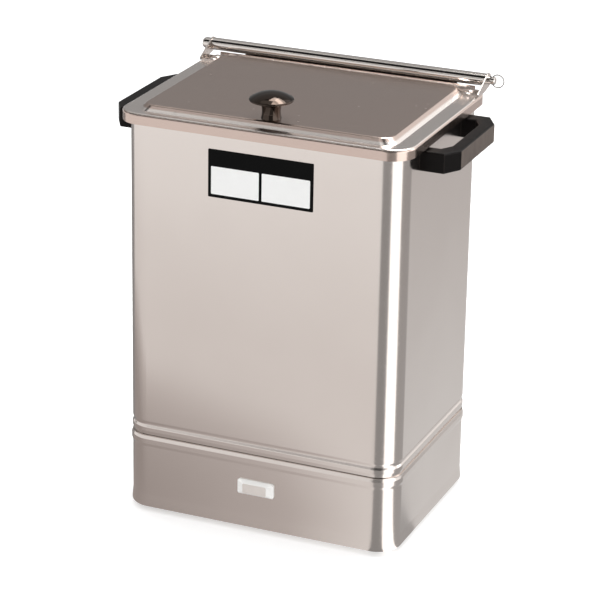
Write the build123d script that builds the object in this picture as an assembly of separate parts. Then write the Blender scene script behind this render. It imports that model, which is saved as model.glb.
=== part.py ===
from build123d import *
import math
import os

# Table-top hot pack heater: a stainless tank on a base skirt, with a hinged lid, a lift-out wire rack
# for four packs, an immersion element and a thermostat.
#
# Everything is drawn in millimetres round the tank's own centre line, with heights measured from the
# lower edge of the base skirt. +X is the side with the retaining ring, -Y the front, +Z up. The origin of
# the finished part is under the middle of its outer box, on the surface that the rubber feet stand on.

# ---------------------------------------------------------------- driving dimensions
# Sheet metal body
body_width = 288.0
body_depth = 216.0
corner_radius = 24.0
sheet = 0.9
weld_gap = 0.05
cut_reach = 5.0
foot_standoff = 5.0

# Base skirt
skirt_height = 78.5
skirt_flange = 14.0
skirt_flare = 1.0
flare_height = 14.0
flare_foot = 4.0
bead_proud = 1.1
bead_drop = 6.0
bead_crest = 2.5
bead_run = 3.0
skirt_foot_bend = 2.5
flare_bend = 8.0
bead_bend = 1.2
bead_exit_bend = 0.8

# Tank wall
lap_depth = 16.5
step_height = 5.0
step_crest = 4.0
step_proud = 0.3
step_start = 0.5
step_bend = 2.0
step_exit_bend = 1.5
groove_depth = 1.0
groove_height = 11.5
groove_width = 1.6
groove_exit = 2.4
groove_bend = 0.8
groove_exit_bend = 2.0
rim_height = 413.8
rim_reach = 3.3
rim_drop = 3.4
rim_bend = 1.0
rim_edge_bend = 0.8

# Tank floor
floor_rise = 9.5
floor_sheet = 1.2
floor_flange = 20.0
floor_bend = 3.0

# Base plate and its vents
plate_sheet = 1.0
plate_inset = 4.0
vent_length = 34.0
vent_width = 4.0
vent_pitch = 10.0
vent_count = 6
vent_offset = 62.0
plate_screw_inset = 9.0
plate_screw_end = 48.0
plate_screw_r = 2.0
plate_screw_reach = 6.0
plate_screw_head_r = 3.8
plate_screw_head = 2.4

# Rubber feet
foot_r = 12.0
foot_taper = 1.5
foot_inset = 30.0
foot_recess_depth = 2.6
foot_recess_r = 4.6
foot_screw_r = 2.0
foot_screw_length = 9.0
foot_screw_head_r = 3.9
foot_screw_head = 2.0
foot_nut_across = 7.0
foot_nut = 3.2

# Lid
lid_overhang = 6.0
lid_gap = 0.3
lid_skirt = 11.0
lid_bend = 3.0
lid_back_gap = 5.0
lid_skirt_short = 15.0
lip_end = 12.0
lip_height = 4.4
lip_run = 3.0
lip_bend = 1.6
panel_height = 6.0
panel_foot_margin = 17.0
panel_run = 6.5
panel_front_margin = 10.5
panel_front_run = 4.3
panel_back_margin = 17.0
panel_corner = 14.0
panel_corner_draw = 2.0
panel_bend = 2.4

# Hinge: rod in a barrel that is fixed to the tank, and in two ears that are fixed to the lid
hinge_setback = 2.0
hinge_rise = 10.7
rod_r = 4.0
running_gap = 0.1
barrel_r = 6.35
leaf_sheet = 1.3
leaf_end = 35.0
leaf_drop = 40.0
leaf_jog = 8.0
leaf_lap = 19.0
leaf_bend = 2.5
rivet_count = 6
rivet_end = 10.0
rivet_r = 1.9
rivet_head_r = 3.8
rivet_head = 1.4
rivet_head_bevel = 0.84
rivet_set_r = 3.04
rivet_drop = 9.0
ear_sheet = 1.5
ear_gap = 0.2
ear_head_r = 7.0
ear_foot_margin = 11.0
ear_foot_length = 17.0
ear_tab = 16.5
ear_rivet_inset = 13.0
ear_rivet_pitch = 9.0
ear_step = 2.5
rod_head_r = 5.75
rod_head = 9.6
rod_head_round = 4.3125
rod_head_bevel = 0.6
rod_tip_bevel = 0.8
rod_end_gap = 0.4
rod_stub = 7.0
ring_offset = 2.9
ring_to_rod = 1.6
ring_wire_r = 0.55
ring_hole_to_rod = 0.55

# Knob
knob_x = 2.0
knob_margin = 27.0
knob_stem_r = 9.9
knob_waist_r = 9.0
knob_cap_r = 21.5
knob_stem_height = 13.0
knob_rim_height = 18.2
knob_height = 26.0
knob_waist_height = 7.0
knob_neck_r = 13.2
knob_neck_drop = 2.0
knob_under_round = 1.2
knob_over_inset = 0.9
knob_over_rise = 1.4

# Screws: a share of every head is bevelled; M5 ones hold the knob and the handles
head_bevel = 0.35
screw_end_gap = 1.0
m5_r = 2.5
m5_head_r = 4.7
m5_head = 3.1
m5_washer_r = 6.2
m5_washer = 1.0
thread_gap = 0.05
hole_gap = 0.25
knob_screw_length = 15.0
handle_screw_length = 17.0

# Carrying handles
handle_half = 65.0
handle_reach = 35.0
handle_nose = 18.0
handle_shoulder = 10.5
handle_bar = 13.0
handle_foot_width = 16.0
handle_throat = 7.0
handle_height = 20.0
handle_gap = 2.0
handle_edge = 2.0

# Pilot lamp
lamp_width = 38.8
lamp_height = 15.7
lamp_z = 44.2
lamp_proud = 5.5
lamp_face_width = 25.0
lamp_face_height = 10.5
lamp_neck_width = 28.0
lamp_neck_height = 11.0
lamp_depth = 24.0
lamp_bezel = 1.6
lamp_corner_round = 2.4
lamp_face_round = 0.8
lamp_catch_proud = 1.5
lamp_catch_height = 6.6
lamp_catch_gap = 0.3
lamp_catch_depth = 3.0
blade_width = 4.8
blade_sheet = 0.8
blade_length = 7.0
blade_pitch = 12.0

# Immersion element
element_r = 4.0
element_rise = 11.0
element_pitch = 40.0
element_margin = 24.0
element_exit_margin = 16.0
element_bend = 7.0
element_tail = 26.0
gland_r = 6.8
gland_across = 18.0
gland_collar = 3.0
gland_neck = 13.0
gasket_sheet = 1.2
gland_nut = 5.0

# Thermostat
stat_x = 70.0
stat_z = 38.0
stat_width = 46.0
stat_height = 38.0
stat_depth = 36.0
stat_round = 3.0
stat_tag_pitch = 12.0
stat_tag_r = 2.2
stat_tag_length = 4.0
stat_tag_depth = 21.6
stat_bush_r = 5.0
stat_bush = 3.0
stat_nut = 2.0
stat_nut_across = 14.0
shaft_r = 3.0
shaft_reach = 10.5
shaft_depth = 12.0
shaft_flat = 2.0
shaft_end_gap = 0.5
dial_r = 15.0
dial_depth = 12.7
dial_gap = 0.5
dial_rib = 0.8
dial_clear = 0.5
dial_flutes = 24
dial_skirt = 2.5
dial_draw = 1.5
dial_round = 1.0
dial_flute_r = 1.0
dial_flute_inset = 0.1
dial_hollow_gap = 1.0
dial_bore_gap = 0.02
dial_bore_end = 0.3
dial_rib_width = 1.8
dial_rib_length = 9.3
dial_rib_place = 6.75
bulb_r = 3.5
bulb_start = -70.0
bulb_length = 90.0
bulb_rise = 6.0
bulb_round = 2.1
capillary_r = 1.2
capillary_lap = 3.0
capillary_socket = 6.0
capillary_end_gap = 1.0
capillary_drop_bend = 5.0
capillary_turn_bend = 10.0
capillary_x = 66.0
capillary_gland_r = 4.0
capillary_gland_across = 11.0
capillary_gland_hex = 5.0
capillary_gland_neck = 4.0

# Mains side
cord_x = -80.0
cord_z = 38.0
cord_bore_r = 3.75
cord_gland_r = 8.0
cord_gland_across = 22.0
cord_gland_hex = 4.0
cord_gland_dome = 8.0
cord_gland_neck = 12.0
cord_gland_step = 1.0
cord_gland_round = 3.5
cord_nut = 4.0
block_size = (44.0, 17.0, 13.0)
block_place = (-40.0, 40.0)
block_poles = 3
block_wall = 2.0
notch_width = 5.78
notch_depth = 7.15
notch_place = 5.61
block_screw_r = 1.2
block_screw_length = 4.0
block_hole = 4.5
block_screw_head_r = 2.6
block_screw_head = 1.8
earth_r = 2.5
earth_place = (-80.0, 85.0)
earth_length = 14.0
earth_nut = 4.0
earth_nut_drop = 7.0
earth_across = 8.0

# Wire rack
rack_wire_r = 1.6
rack_pitch = 42.0
rack_weld = 0.2
rack_margin_y = 20.0
rack_gap = 4.0
rack_handle_margin = 13.0
rack_handle_wire_r = 1.8
rack_handle_half = 40.0
rack_handle_drop = 41.8
rack_handle_bend = 14.0
rack_corner = 10.0
divider_height = 158.8
divider_bend = 9.0
rack_foot_margin = 31.6
rack_foot_span = 26.0
rack_foot_wire_r = 2.0
rack_foot_gap = 0.15
rack_foot_bend = 4.0

# ---------------------------------------------------------------- worked-out sizes
half_width = body_width / 2
half_depth = body_depth / 2
lap_inset = sheet + weld_gap
floor_inset = 2 * lap_inset
floor_height = skirt_height + floor_rise
floor_under = floor_height - floor_sheet
lid_half_x = half_width + lid_overhang
lid_half_y = half_depth + lid_overhang
lid_under = rim_height + lid_gap
lid_top = lid_under + sheet
panel_top = lid_top + panel_height
panel_back = lid_half_y - panel_back_margin
hinge_y = half_depth + hinge_setback
hinge_z = rim_height + hinge_rise
lid_back = hinge_y - lid_back_gap
lid_skirt_back = lid_half_y - lid_skirt_short
lip_half = lid_half_x - lip_end
ear_outer = lid_half_x
ear_inner = ear_outer - ear_sheet
ear_foot_back = half_depth - ear_foot_margin
ear_foot_mid = ear_foot_back - ear_foot_length / 2
barrel_half = ear_inner - ear_gap
leaf_half = lid_half_x - leaf_end
rivet_pitch = 2 * (leaf_half - rivet_end) / (rivet_count - 1)
rod_tip = ear_outer + rod_stub
ring_x = ear_outer + ring_offset
ring_r = ring_to_rod * rod_r
ring_hole_r = ring_hole_to_rod * rod_r
knob_y = knob_margin - lid_half_y
handle_top = lid_top - lid_skirt - handle_gap
handle_hole_y = handle_half - handle_foot_width / 2
handle_hole_z = handle_top - handle_height / 2
plate_screw_x = half_width - plate_screw_end
element_z = floor_height + element_rise
element_half = half_width - element_margin
element_exit_x = element_exit_margin - half_width
bulb_z = floor_height + bulb_rise
dial_back = half_depth + dial_gap + dial_depth + dial_rib
rack_base_z = element_z + element_r + rack_gap + rack_wire_r
rack_cross_z = rack_base_z + 2 * rack_wire_r - rack_weld
rack_top = rack_cross_z + rack_wire_r
rack_handle_x = half_width - rack_handle_margin
rack_handle_top = rim_height - rack_handle_drop
rack_half_x = rack_handle_x - rack_handle_wire_r - rack_wire_r
rack_half_y = half_depth - rack_margin_y
rack_columns = int(2 * rack_half_x // rack_pitch) + 1
rack_rows = int(2 * rack_half_y // rack_pitch) + 1
divider_top = rack_top + divider_height
rack_foot_x = rack_half_x - rack_foot_margin
body_y = (lid_half_y - dial_back) / 2


# ---------------------------------------------------------------- shared forms
def bent_strip(points, radii, thickness):
    """Section of bent sheet: its outer face follows the points, its thickness lies on the left."""
    path = Wire(FilletPolyline(*points, radius=radii).edges())
    return Face(path.offset_2d(thickness, Kind.ARC, Side.LEFT, True))


def carried_round(section, half_x, half_y, radius):
    """Takes a section round a rounded rectangle. Its x is measured outwards from the rectangle."""
    profile = Plane.XZ * Pos(radius, 0) * section
    along_x = 2 * (half_x - radius)
    along_y = 2 * (half_y - radius)
    runs = [((-1, 0, 0), along_x), ((0, -1, 0), along_y), ((1, 0, 0), along_x), ((0, 1, 0), along_y)]
    corners = [(1, 1), (-1, 1), (-1, -1), (1, -1)]
    pieces = []
    for turn, ((side_x, side_y), (direction, length)) in enumerate(zip(corners, runs)):
        centre = Pos(side_x * (half_x - radius), side_y * (half_y - radius))
        axis = Axis(centre.position, (0, 0, 1))
        pieces.append(revolve(centre * Rot(0, 0, 90 * turn) * profile, axis, 90))
        straight = centre * Rot(0, 0, 90 * (turn + 1)) * profile
        pieces.append(extrude(straight, length, dir=direction))
    return Part() + pieces


def rounded_plate(half_x, half_y, radius, low, high):
    """Flat block with rounded corners between two heights."""
    return Pos(0, 0, low) * extrude(RectangleRounded(2 * half_x, 2 * half_y, radius), high - low)


def rod_along(start, end, radius):
    """Round bar between two points."""
    line = Line(start, end)
    return sweep(Plane(origin=start, z_dir=line % 0) * Circle(radius), line)


def wire_along(points, radii, radius):
    """Round wire bent along a line of points."""
    path = FilletPolyline(*points, radius=radii)
    return sweep(Plane(origin=path @ 0, z_dir=path % 0) * Circle(radius), path)


def hexagon(across, low, high):
    """Hexagonal block by its width across flats."""
    return Pos(0, 0, low) * extrude(RegularPolygon(across / 2, 6, major_radius=False), high - low)


def drum(radius, low, high):
    """Round block between two heights."""
    return Pos(0, 0, low) * extrude(Circle(radius), high - low)


def pan_screw(shank_r, length, head_r, head):
    """Screw along +Z, with the bearing face of its head at zero."""
    cap = chamfer(drum(head_r, -head, 0).edges().group_by(Axis.Z)[0], head * head_bevel)
    return cap + drum(shank_r, 0, length)


def washer(bore_r, outer_r, thickness):
    """Flat washer standing on zero."""
    return drum(outer_r, 0, thickness) - drum(bore_r, 0, thickness)


def together(pieces):
    """Separate solids that share one node."""
    return Compound([solid for piece in pieces for solid in piece.solids()])


# ---------------------------------------------------------------- places that parts share
def handle_fixings():
    """Both fixings of both handles: a place on the tank's inner wall, with +Z pointing outwards."""
    for side in (-1, 1):
        for along in (-handle_hole_y, handle_hole_y):
            yield Pos(side * (half_width - sheet), along, handle_hole_z) * Rot(0, 90 * side, 0)


def plate_fixings():
    """Screws that hold the base plate to the skirt's flange."""
    edge_x = half_width - plate_screw_inset
    edge_y = half_depth - plate_screw_inset
    spots = [(x, y) for x in (-plate_screw_x, 0, plate_screw_x) for y in (-edge_y, edge_y)]
    for x, y in spots + [(-edge_x, 0), (edge_x, 0)]:
        yield Pos(x, y)


def foot_places():
    """Centres of the four feet."""
    for x in (-1, 1):
        for y in (-1, 1):
            yield Pos(x * (half_width - foot_inset), y * (half_depth - foot_inset))


def rivet_places():
    """Hinge rivets, on the tank's outer back wall with +Z pointing backwards."""
    first = -rivet_pitch * (rivet_count - 1) / 2
    for i in range(rivet_count):
        x = first + i * rivet_pitch
        yield Pos(x, half_depth, hinge_z - leaf_drop + rivet_drop) * Rot(-90, 0, 0)


def element_exits():
    """Where the element's two ends pass through the tank floor."""
    for y in (-1.5, 1.5):
        yield Pos(element_exit_x, y * element_pitch)


def back_place(x, z):
    """A place on the skirt's outer back face, with +Z pointing backwards."""
    return Pos(x, half_depth, z) * Rot(-90, 0, 0)


def front_place(z):
    """The middle of the skirt's outer front face at a height, with +Z pointing forwards."""
    return Pos(0, -half_depth, z) * Rot(90, 0, 0)


def rack_columns_x():
    """Places of the rack's wires that run front to back."""
    return [rack_pitch * (i - (rack_columns - 1) / 2) for i in range(rack_columns)]


def rack_rows_y():
    """Places of the rack's dividers, and of the wires that they stand on."""
    return [rack_pitch * (i - (rack_rows - 1) / 2) for i in range(rack_rows)]


# ---------------------------------------------------------------- body
def base_skirt():
    """Skirt with a flared foot, a turned-in flange below and a rolled bead near its top."""
    bead = skirt_height - bead_drop
    section = bent_strip(
        [
            (-skirt_flange, 0),
            (skirt_flare, 0),
            (skirt_flare, flare_foot),
            (0, flare_height),
            (0, bead - bead_crest - bead_run),
            (bead_proud, bead - bead_crest),
            (bead_proud, bead + bead_crest),
            (0, bead + bead_crest + bead_run),
            (0, skirt_height),
        ],
        [skirt_foot_bend] + 2 * [flare_bend] + 3 * [bead_bend] + [bead_exit_bend],
        sheet,
    )
    skirt = carried_round(section, half_width, half_depth, corner_radius)
    neck = Rectangle(lamp_neck_width + 2 * hole_gap, lamp_neck_height + 2 * hole_gap)
    skirt -= front_place(lamp_z) * extrude(neck, cut_reach, both=True)
    skirt -= back_place(stat_x, stat_z) * drum(stat_bush_r + hole_gap, -cut_reach, cut_reach)
    skirt -= back_place(cord_x, cord_z) * drum(cord_gland_r + hole_gap, -cut_reach, cut_reach)
    for place in plate_fixings():
        skirt -= place * drum(plate_screw_r + thread_gap, 0, 2 * sheet)
    return skirt


def tank():
    """Tank wall: lap inside the skirt, small bead, rolled groove, straight wall and turned rim."""
    low = skirt_height
    groove = low + groove_height
    edge = rim_reach - sheet
    section = bent_strip(
        [
            (-lap_inset, low - lap_depth),
            (-lap_inset, low + step_start),
            (step_proud, low + step_height),
            (step_proud, low + step_height + step_crest),
            (-groove_depth, groove),
            (-groove_depth, groove + groove_width),
            (0, groove + groove_width + groove_exit),
            (0, rim_height - sheet),
            (edge, rim_height - sheet),
            (edge, rim_height - rim_drop),
        ],
        2 * [step_bend] + [step_exit_bend] + 2 * [groove_bend] + [groove_exit_bend, rim_bend, rim_edge_bend],
        sheet,
    )
    wall = carried_round(section, half_width, half_depth, corner_radius)
    for place in handle_fixings():
        wall -= place * drum(m5_r + hole_gap, -sheet, 2 * sheet)
    for place in rivet_places():
        wall -= place * drum(rivet_r + thread_gap, -2 * sheet, sheet)
    return wall


def tank_floor():
    """Pan with a turned-down flange, welded inside the lap under the groove."""
    outer_x = half_width - floor_inset
    outer_y = half_depth - floor_inset
    outer_r = corner_radius - floor_inset
    low = floor_height - floor_flange
    outer = rounded_plate(outer_x, outer_y, outer_r, low, floor_height)
    outer = fillet(outer.edges().group_by(Axis.Z)[-1], floor_bend)
    inner = rounded_plate(
        outer_x - floor_sheet, outer_y - floor_sheet, outer_r - floor_sheet, low, floor_under
    )
    inner = fillet(inner.edges().group_by(Axis.Z)[-1], floor_bend - floor_sheet)
    pan = outer - inner
    for place in element_exits():
        pan -= place * drum(gland_r + hole_gap, floor_under, floor_height)
    pan -= Pos(capillary_x, 0) * drum(capillary_gland_r + hole_gap, floor_under, floor_height)
    return pan


def base_plate():
    """Cover under the base, with two banks of vent slots."""
    plate = rounded_plate(
        half_width - plate_inset,
        half_depth - plate_inset,
        corner_radius - plate_inset,
        -plate_sheet,
        0,
    )
    slots = []
    for side in (-1, 1):
        for i in range(vent_count):
            y = vent_pitch * (i - (vent_count - 1) / 2)
            slots.append(Pos(side * vent_offset, y) * SlotOverall(vent_length, vent_width))
    plate -= Pos(0, 0, -plate_sheet) * extrude(Sketch() + slots, plate_sheet)
    for place in plate_fixings():
        plate -= place * drum(plate_screw_r + hole_gap, -plate_sheet, 0)
    for place in foot_places():
        plate -= place * drum(foot_screw_r + hole_gap, -plate_sheet, 0)
    return plate


def plate_screws():
    """Screws up through the plate into the skirt's flange."""
    length = plate_sheet + plate_screw_reach
    screw = pan_screw(plate_screw_r, length, plate_screw_head_r, plate_screw_head)
    return together(place * Pos(0, 0, -plate_sheet) * screw for place in plate_fixings())


def rubber_feet():
    """Four tapered feet with a recess for their screws."""
    low = -foot_standoff
    blank = drum(foot_r, low, -plate_sheet)
    blank = chamfer(blank.edges().group_by(Axis.Z)[0], foot_taper)
    blank -= drum(foot_recess_r, low, low + foot_recess_depth)
    blank -= drum(foot_screw_r + hole_gap, low, -plate_sheet)
    return together(place * blank for place in foot_places())


def foot_screws():
    """Screws up through the feet and the base plate."""
    screw = pan_screw(foot_screw_r, foot_screw_length, foot_screw_head_r, foot_screw_head)
    seat = Pos(0, 0, foot_recess_depth - foot_standoff)
    return together(place * seat * screw for place in foot_places())


def foot_nuts():
    """Nuts on the foot screws, on top of the base plate."""
    nut = hexagon(foot_nut_across, 0, foot_nut) - drum(foot_screw_r + thread_gap, 0, foot_nut)
    return together(place * nut for place in foot_places())


# ---------------------------------------------------------------- lid
def panel_block(shift, low, high, bend):
    """Raised middle of the lid, as a frustum with a rounded top edge, its walls moved inwards by a shift."""
    foot_x = lid_half_x - panel_foot_margin - shift
    front = -(lid_half_y - panel_front_margin) + shift
    back = panel_back - shift
    foot = Pos(0, (front + back) / 2, low) * RectangleRounded(2 * foot_x, back - front, panel_corner)
    top_x = foot_x - panel_run
    top_front = front + panel_front_run
    top_back = back - panel_run
    top = Pos(0, (top_front + top_back) / 2, high)
    top *= RectangleRounded(2 * top_x, top_back - top_front, panel_corner - panel_corner_draw)
    block = loft([foot, top], ruled=True)
    return fillet(block.edges().group_by(Axis.Z)[-1], bend)


def lid():
    """Lid pressing: turned-down skirt, flat flange, raised panel and a lip along the back."""
    low = lid_top - lid_skirt
    lean = panel_run / panel_height
    shift = sheet * (math.hypot(lean, 1) - lean)
    outer = rounded_plate(lid_half_x, lid_half_y, corner_radius, low, lid_top)
    outer = fillet(outer.edges().group_by(Axis.Z)[-1], lid_bend)
    outer += panel_block(0, lid_top, panel_top, panel_bend)
    inner_x = lid_half_x - sheet
    inner_y = lid_half_y - sheet
    inner = rounded_plate(inner_x, inner_y, corner_radius - sheet, low, lid_under)
    inner = fillet(inner.edges().group_by(Axis.Z)[-1], lid_bend - sheet)
    inner += panel_block(shift, lid_under, panel_top - sheet, panel_bend - sheet)
    pressing = outer - inner
    behind = 2 * lid_half_y
    span = 3 * lid_half_x
    pressing -= Pos(0, lid_back + behind / 2, lid_top) * Box(span, behind, 4 * lid_skirt)
    skirt_gap = Pos(0, lid_skirt_back + behind / 2, lid_under - lid_skirt)
    pressing -= skirt_gap * Box(span, behind, 2 * lid_skirt)
    lip_seam = lid_back - lip_run
    pressing -= Pos(0, lip_seam + behind / 2, lid_top) * Box(2 * lip_half, behind, 4 * lid_skirt)
    lip_top = lid_under + lip_height
    lip = bent_strip([(lip_seam, lid_under), (lid_back, lid_under), (lid_back, lip_top)], [lip_bend], sheet)
    pressing += extrude(Plane.YZ.offset(-lip_half) * lip, 2 * lip_half)
    pressing -= Pos(knob_x, knob_y) * drum(m5_r + hole_gap, lid_under, panel_top)
    for side in (-1, 1):
        for place in ear_rivet_places(side):
            pressing -= place * drum(rivet_r + thread_gap, -2 * sheet, sheet)
    return pressing


def ear_rivet_places(side):
    """Two rivets through one ear's tab, on top of the lid's flange."""
    for along in (-ear_rivet_pitch / 2, ear_rivet_pitch / 2):
        yield Pos(side * (ear_outer - ear_rivet_inset), ear_foot_mid + along, lid_top)


def lid_ear(side):
    """Ear that carries the hinge rod: a riveted tab, and a plate that leans back to a round eye."""
    eye = Pos(hinge_y, hinge_z) * Circle(ear_head_r)
    toe = Pos(ear_foot_mid, lid_top + ear_step / 2) * Rectangle(ear_foot_length, ear_step)
    outline = make_hull(eye.edges() + toe.edges())
    plate = extrude(Plane.YZ.offset(ear_inner) * outline, ear_sheet)
    tab_middle = Pos(ear_outer - ear_tab / 2, ear_foot_mid, lid_top + ear_sheet / 2)
    ear = plate + tab_middle * Box(ear_tab, ear_foot_length, ear_sheet)
    ear -= Pos(ear_inner, hinge_y, hinge_z) * Rot(0, 90, 0) * drum(rod_r + running_gap, 0, ear_sheet)
    if side < 0:
        ear = mirror(ear, Plane.YZ)
    for place in ear_rivet_places(side):
        ear -= place * drum(rivet_r + thread_gap, 0, ear_sheet)
    return ear


def rivet(grip):
    """Rivet along +Z that holds a grip below zero, with its made head above and set head below."""
    made = chamfer(drum(rivet_head_r, 0, rivet_head).edges().group_by(Axis.Z)[-1], rivet_head_bevel)
    return made + drum(rivet_r, -grip, 0) + drum(rivet_set_r, -grip - rivet_head, -grip)


def ear_rivets():
    """Rivets that fix both ears to the lid."""
    seat = Pos(0, 0, ear_sheet)
    fixing = rivet(ear_sheet + sheet)
    return together(p * seat * fixing for side in (-1, 1) for p in ear_rivet_places(side))


def lid_knob():
    """Turned mushroom knob with a waisted stem."""
    edge = knob_rim_height
    under = (knob_cap_r - knob_under_round, edge - knob_under_round)
    over = (knob_cap_r - knob_over_inset, edge + knob_over_rise)
    neck = (knob_neck_r, edge - knob_neck_drop)
    crown = knob_height - over[1]
    dome_r = (over[0] ** 2 + crown**2) / (2 * crown)
    half_turn = math.asin(over[0] / dome_r) / 2
    shoulder = (dome_r * math.sin(half_turn), knob_height - dome_r * (1 - math.cos(half_turn)))
    outline = [
        Line((0, 0), (knob_stem_r, 0)),
        ThreePointArc((knob_stem_r, 0), (knob_waist_r, knob_waist_height), (knob_stem_r, knob_stem_height)),
        ThreePointArc((knob_stem_r, knob_stem_height), neck, under),
        ThreePointArc(under, (knob_cap_r, edge), over),
        ThreePointArc(over, shoulder, (0, knob_height)),
        Line((0, knob_height), (0, 0)),
    ]
    knob = revolve(Plane.XZ * make_face(outline), Axis.Z, 360)
    knob -= drum(m5_r + thread_gap, 0, knob_screw_length)
    return Pos(knob_x, knob_y, panel_top) * knob


def knob_seat():
    """Under the panel, below the knob, with +Z pointing up."""
    return Pos(knob_x, knob_y, panel_top - sheet)


def knob_screw():
    """Screw that holds the knob from beneath."""
    length = m5_washer + sheet + knob_screw_length - screw_end_gap
    screw = pan_screw(m5_r, length, m5_head_r, m5_head)
    return knob_seat() * Pos(0, 0, -m5_washer) * screw


def knob_washer():
    """Washer between the knob's screw and the lid."""
    return knob_seat() * Pos(0, 0, -m5_washer) * washer(m5_r + hole_gap, m5_washer_r, m5_washer)


# ---------------------------------------------------------------- hinge
def hinge_barrel():
    """Long barrel with a jogged leaf that drops behind the tank's rim and lies on its back wall."""
    wall = half_depth + leaf_sheet
    back = hinge_y + barrel_r
    low = hinge_z - leaf_drop
    jog = low + leaf_lap
    outline = [(wall, low), (wall, jog), (back, jog + leaf_jog), (back, hinge_z)]
    leaf = bent_strip(outline, 2 * [leaf_bend], leaf_sheet)
    barrel = Pos(-barrel_half, hinge_y, hinge_z) * Rot(0, 90, 0) * drum(barrel_r, 0, 2 * barrel_half)
    barrel += extrude(Plane.YZ.offset(-leaf_half) * leaf, 2 * leaf_half)
    bore = drum(rod_r + running_gap, 0, 2 * barrel_half)
    barrel -= Pos(-barrel_half, hinge_y, hinge_z) * Rot(0, 90, 0) * bore
    for place in rivet_places():
        barrel -= place * drum(rivet_r + thread_gap, 0, leaf_sheet)
    return barrel


def hinge_rivets():
    """Rivets through the leaf and the tank's back wall."""
    fixing = rivet(leaf_sheet + sheet)
    return together(place * Pos(0, 0, leaf_sheet) * fixing for place in rivet_places())


def hinge_rod():
    """Rod with a domed head on the left, and a cross hole for the retaining ring on the right."""
    start = ear_outer + rod_end_gap
    head = drum(rod_head_r, 0, rod_head)
    head = fillet(head.edges().group_by(Axis.Z)[-1], rod_head_round)
    head = chamfer(head.edges().group_by(Axis.Z)[0], rod_head_bevel)
    shank = chamfer(drum(rod_r, -(start + rod_tip), 0).edges().group_by(Axis.Z)[0], rod_tip_bevel)
    rod = Pos(-start, hinge_y, hinge_z) * Rot(0, -90, 0) * (head + shank)
    return rod - Pos(ring_x, hinge_y, hinge_z) * drum(ring_hole_r, -2 * rod_r, 2 * rod_r)


def retaining_ring():
    """Wire ring through the rod's cross hole."""
    return Pos(ring_x + ring_r, hinge_y, hinge_z) * Rot(90, 0, 0) * Torus(ring_r, ring_wire_r)


# ---------------------------------------------------------------- handles
def carrying_handle(side):
    """Moulded handle: a bar with chamfered corners on two feet against the tank wall."""
    half = handle_half
    reach = handle_reach
    outer = Polyline(
        (0, -half),
        (reach - handle_shoulder, -half),
        (reach, handle_nose - half),
        (reach, half - handle_nose),
        (reach - handle_shoulder, half),
        (0, half),
        close=True,
    )
    inner_half = half - handle_foot_width
    inner_reach = reach - handle_bar
    throat_half = inner_half - handle_throat * handle_nose / handle_shoulder
    inner = Polyline(
        (0, -inner_half),
        (inner_reach - handle_throat, -inner_half),
        (inner_reach, -throat_half),
        (inner_reach, throat_half),
        (inner_reach - handle_throat, inner_half),
        (0, inner_half),
        close=True,
    )
    bar = extrude(make_face(outer) - make_face(inner), handle_height)
    rims = bar.edges().filter_by(GeomType.LINE).filter_by(Plane.XY)
    rims = [edge for edge in rims if edge.center().X > hole_gap]
    bar = fillet(rims, handle_edge)
    for along in (-handle_hole_y, handle_hole_y):
        hole = Pos(0, along, handle_height / 2) * Rot(0, 90, 0)
        bar -= hole * drum(m5_r + thread_gap, 0, handle_screw_length)
    turn = Rot(0, 0, 0 if side > 0 else 180)
    return Pos(side * half_width, 0, handle_top - handle_height) * turn * bar


def handle_screws():
    """Screws from inside the tank into the handles' feet."""
    length = m5_washer + sheet + handle_screw_length - screw_end_gap
    screw = pan_screw(m5_r, length, m5_head_r, m5_head)
    return together(place * Pos(0, 0, -m5_washer) * screw for place in handle_fixings())


def handle_washers():
    """Washers under the handle screws, on the tank's inner wall."""
    ring = washer(m5_r + hole_gap, m5_washer_r, m5_washer)
    return together(place * Pos(0, 0, -m5_washer) * ring for place in handle_fixings())


# ---------------------------------------------------------------- pilot lamp
def pilot_lamp_lens():
    """Bevelled lens on the front of the skirt."""
    foot = Rectangle(lamp_width, lamp_height)
    face = Pos(0, 0, lamp_proud) * Rectangle(lamp_face_width, lamp_face_height)
    lens = extrude(foot, lamp_bezel) + loft([Pos(0, 0, lamp_bezel) * foot, face], ruled=True)
    lens = fillet(lens.edges().filter_by(lambda e: abs((e % 0.5).Z) > 0), lamp_corner_round)
    lens = fillet(lens.edges().group_by(Axis.Z)[-1], lamp_face_round)
    return front_place(lamp_z) * lens


def pilot_lamp_body():
    """Lamp holder behind the lens: a neck through the skirt, a box and two blade terminals."""
    neck = Rectangle(lamp_neck_width, lamp_neck_height)
    holder = extrude(neck, -lamp_depth)
    catch = Rectangle(lamp_neck_width + 2 * lamp_catch_proud, lamp_catch_height)
    holder += Pos(0, 0, -sheet - lamp_catch_gap) * extrude(catch, -lamp_catch_depth)
    blade = extrude(Rectangle(blade_width, blade_sheet), -blade_length)
    for x in (-blade_pitch / 2, blade_pitch / 2):
        holder += Pos(x, 0, -lamp_depth) * blade
    return front_place(lamp_z) * holder


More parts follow.
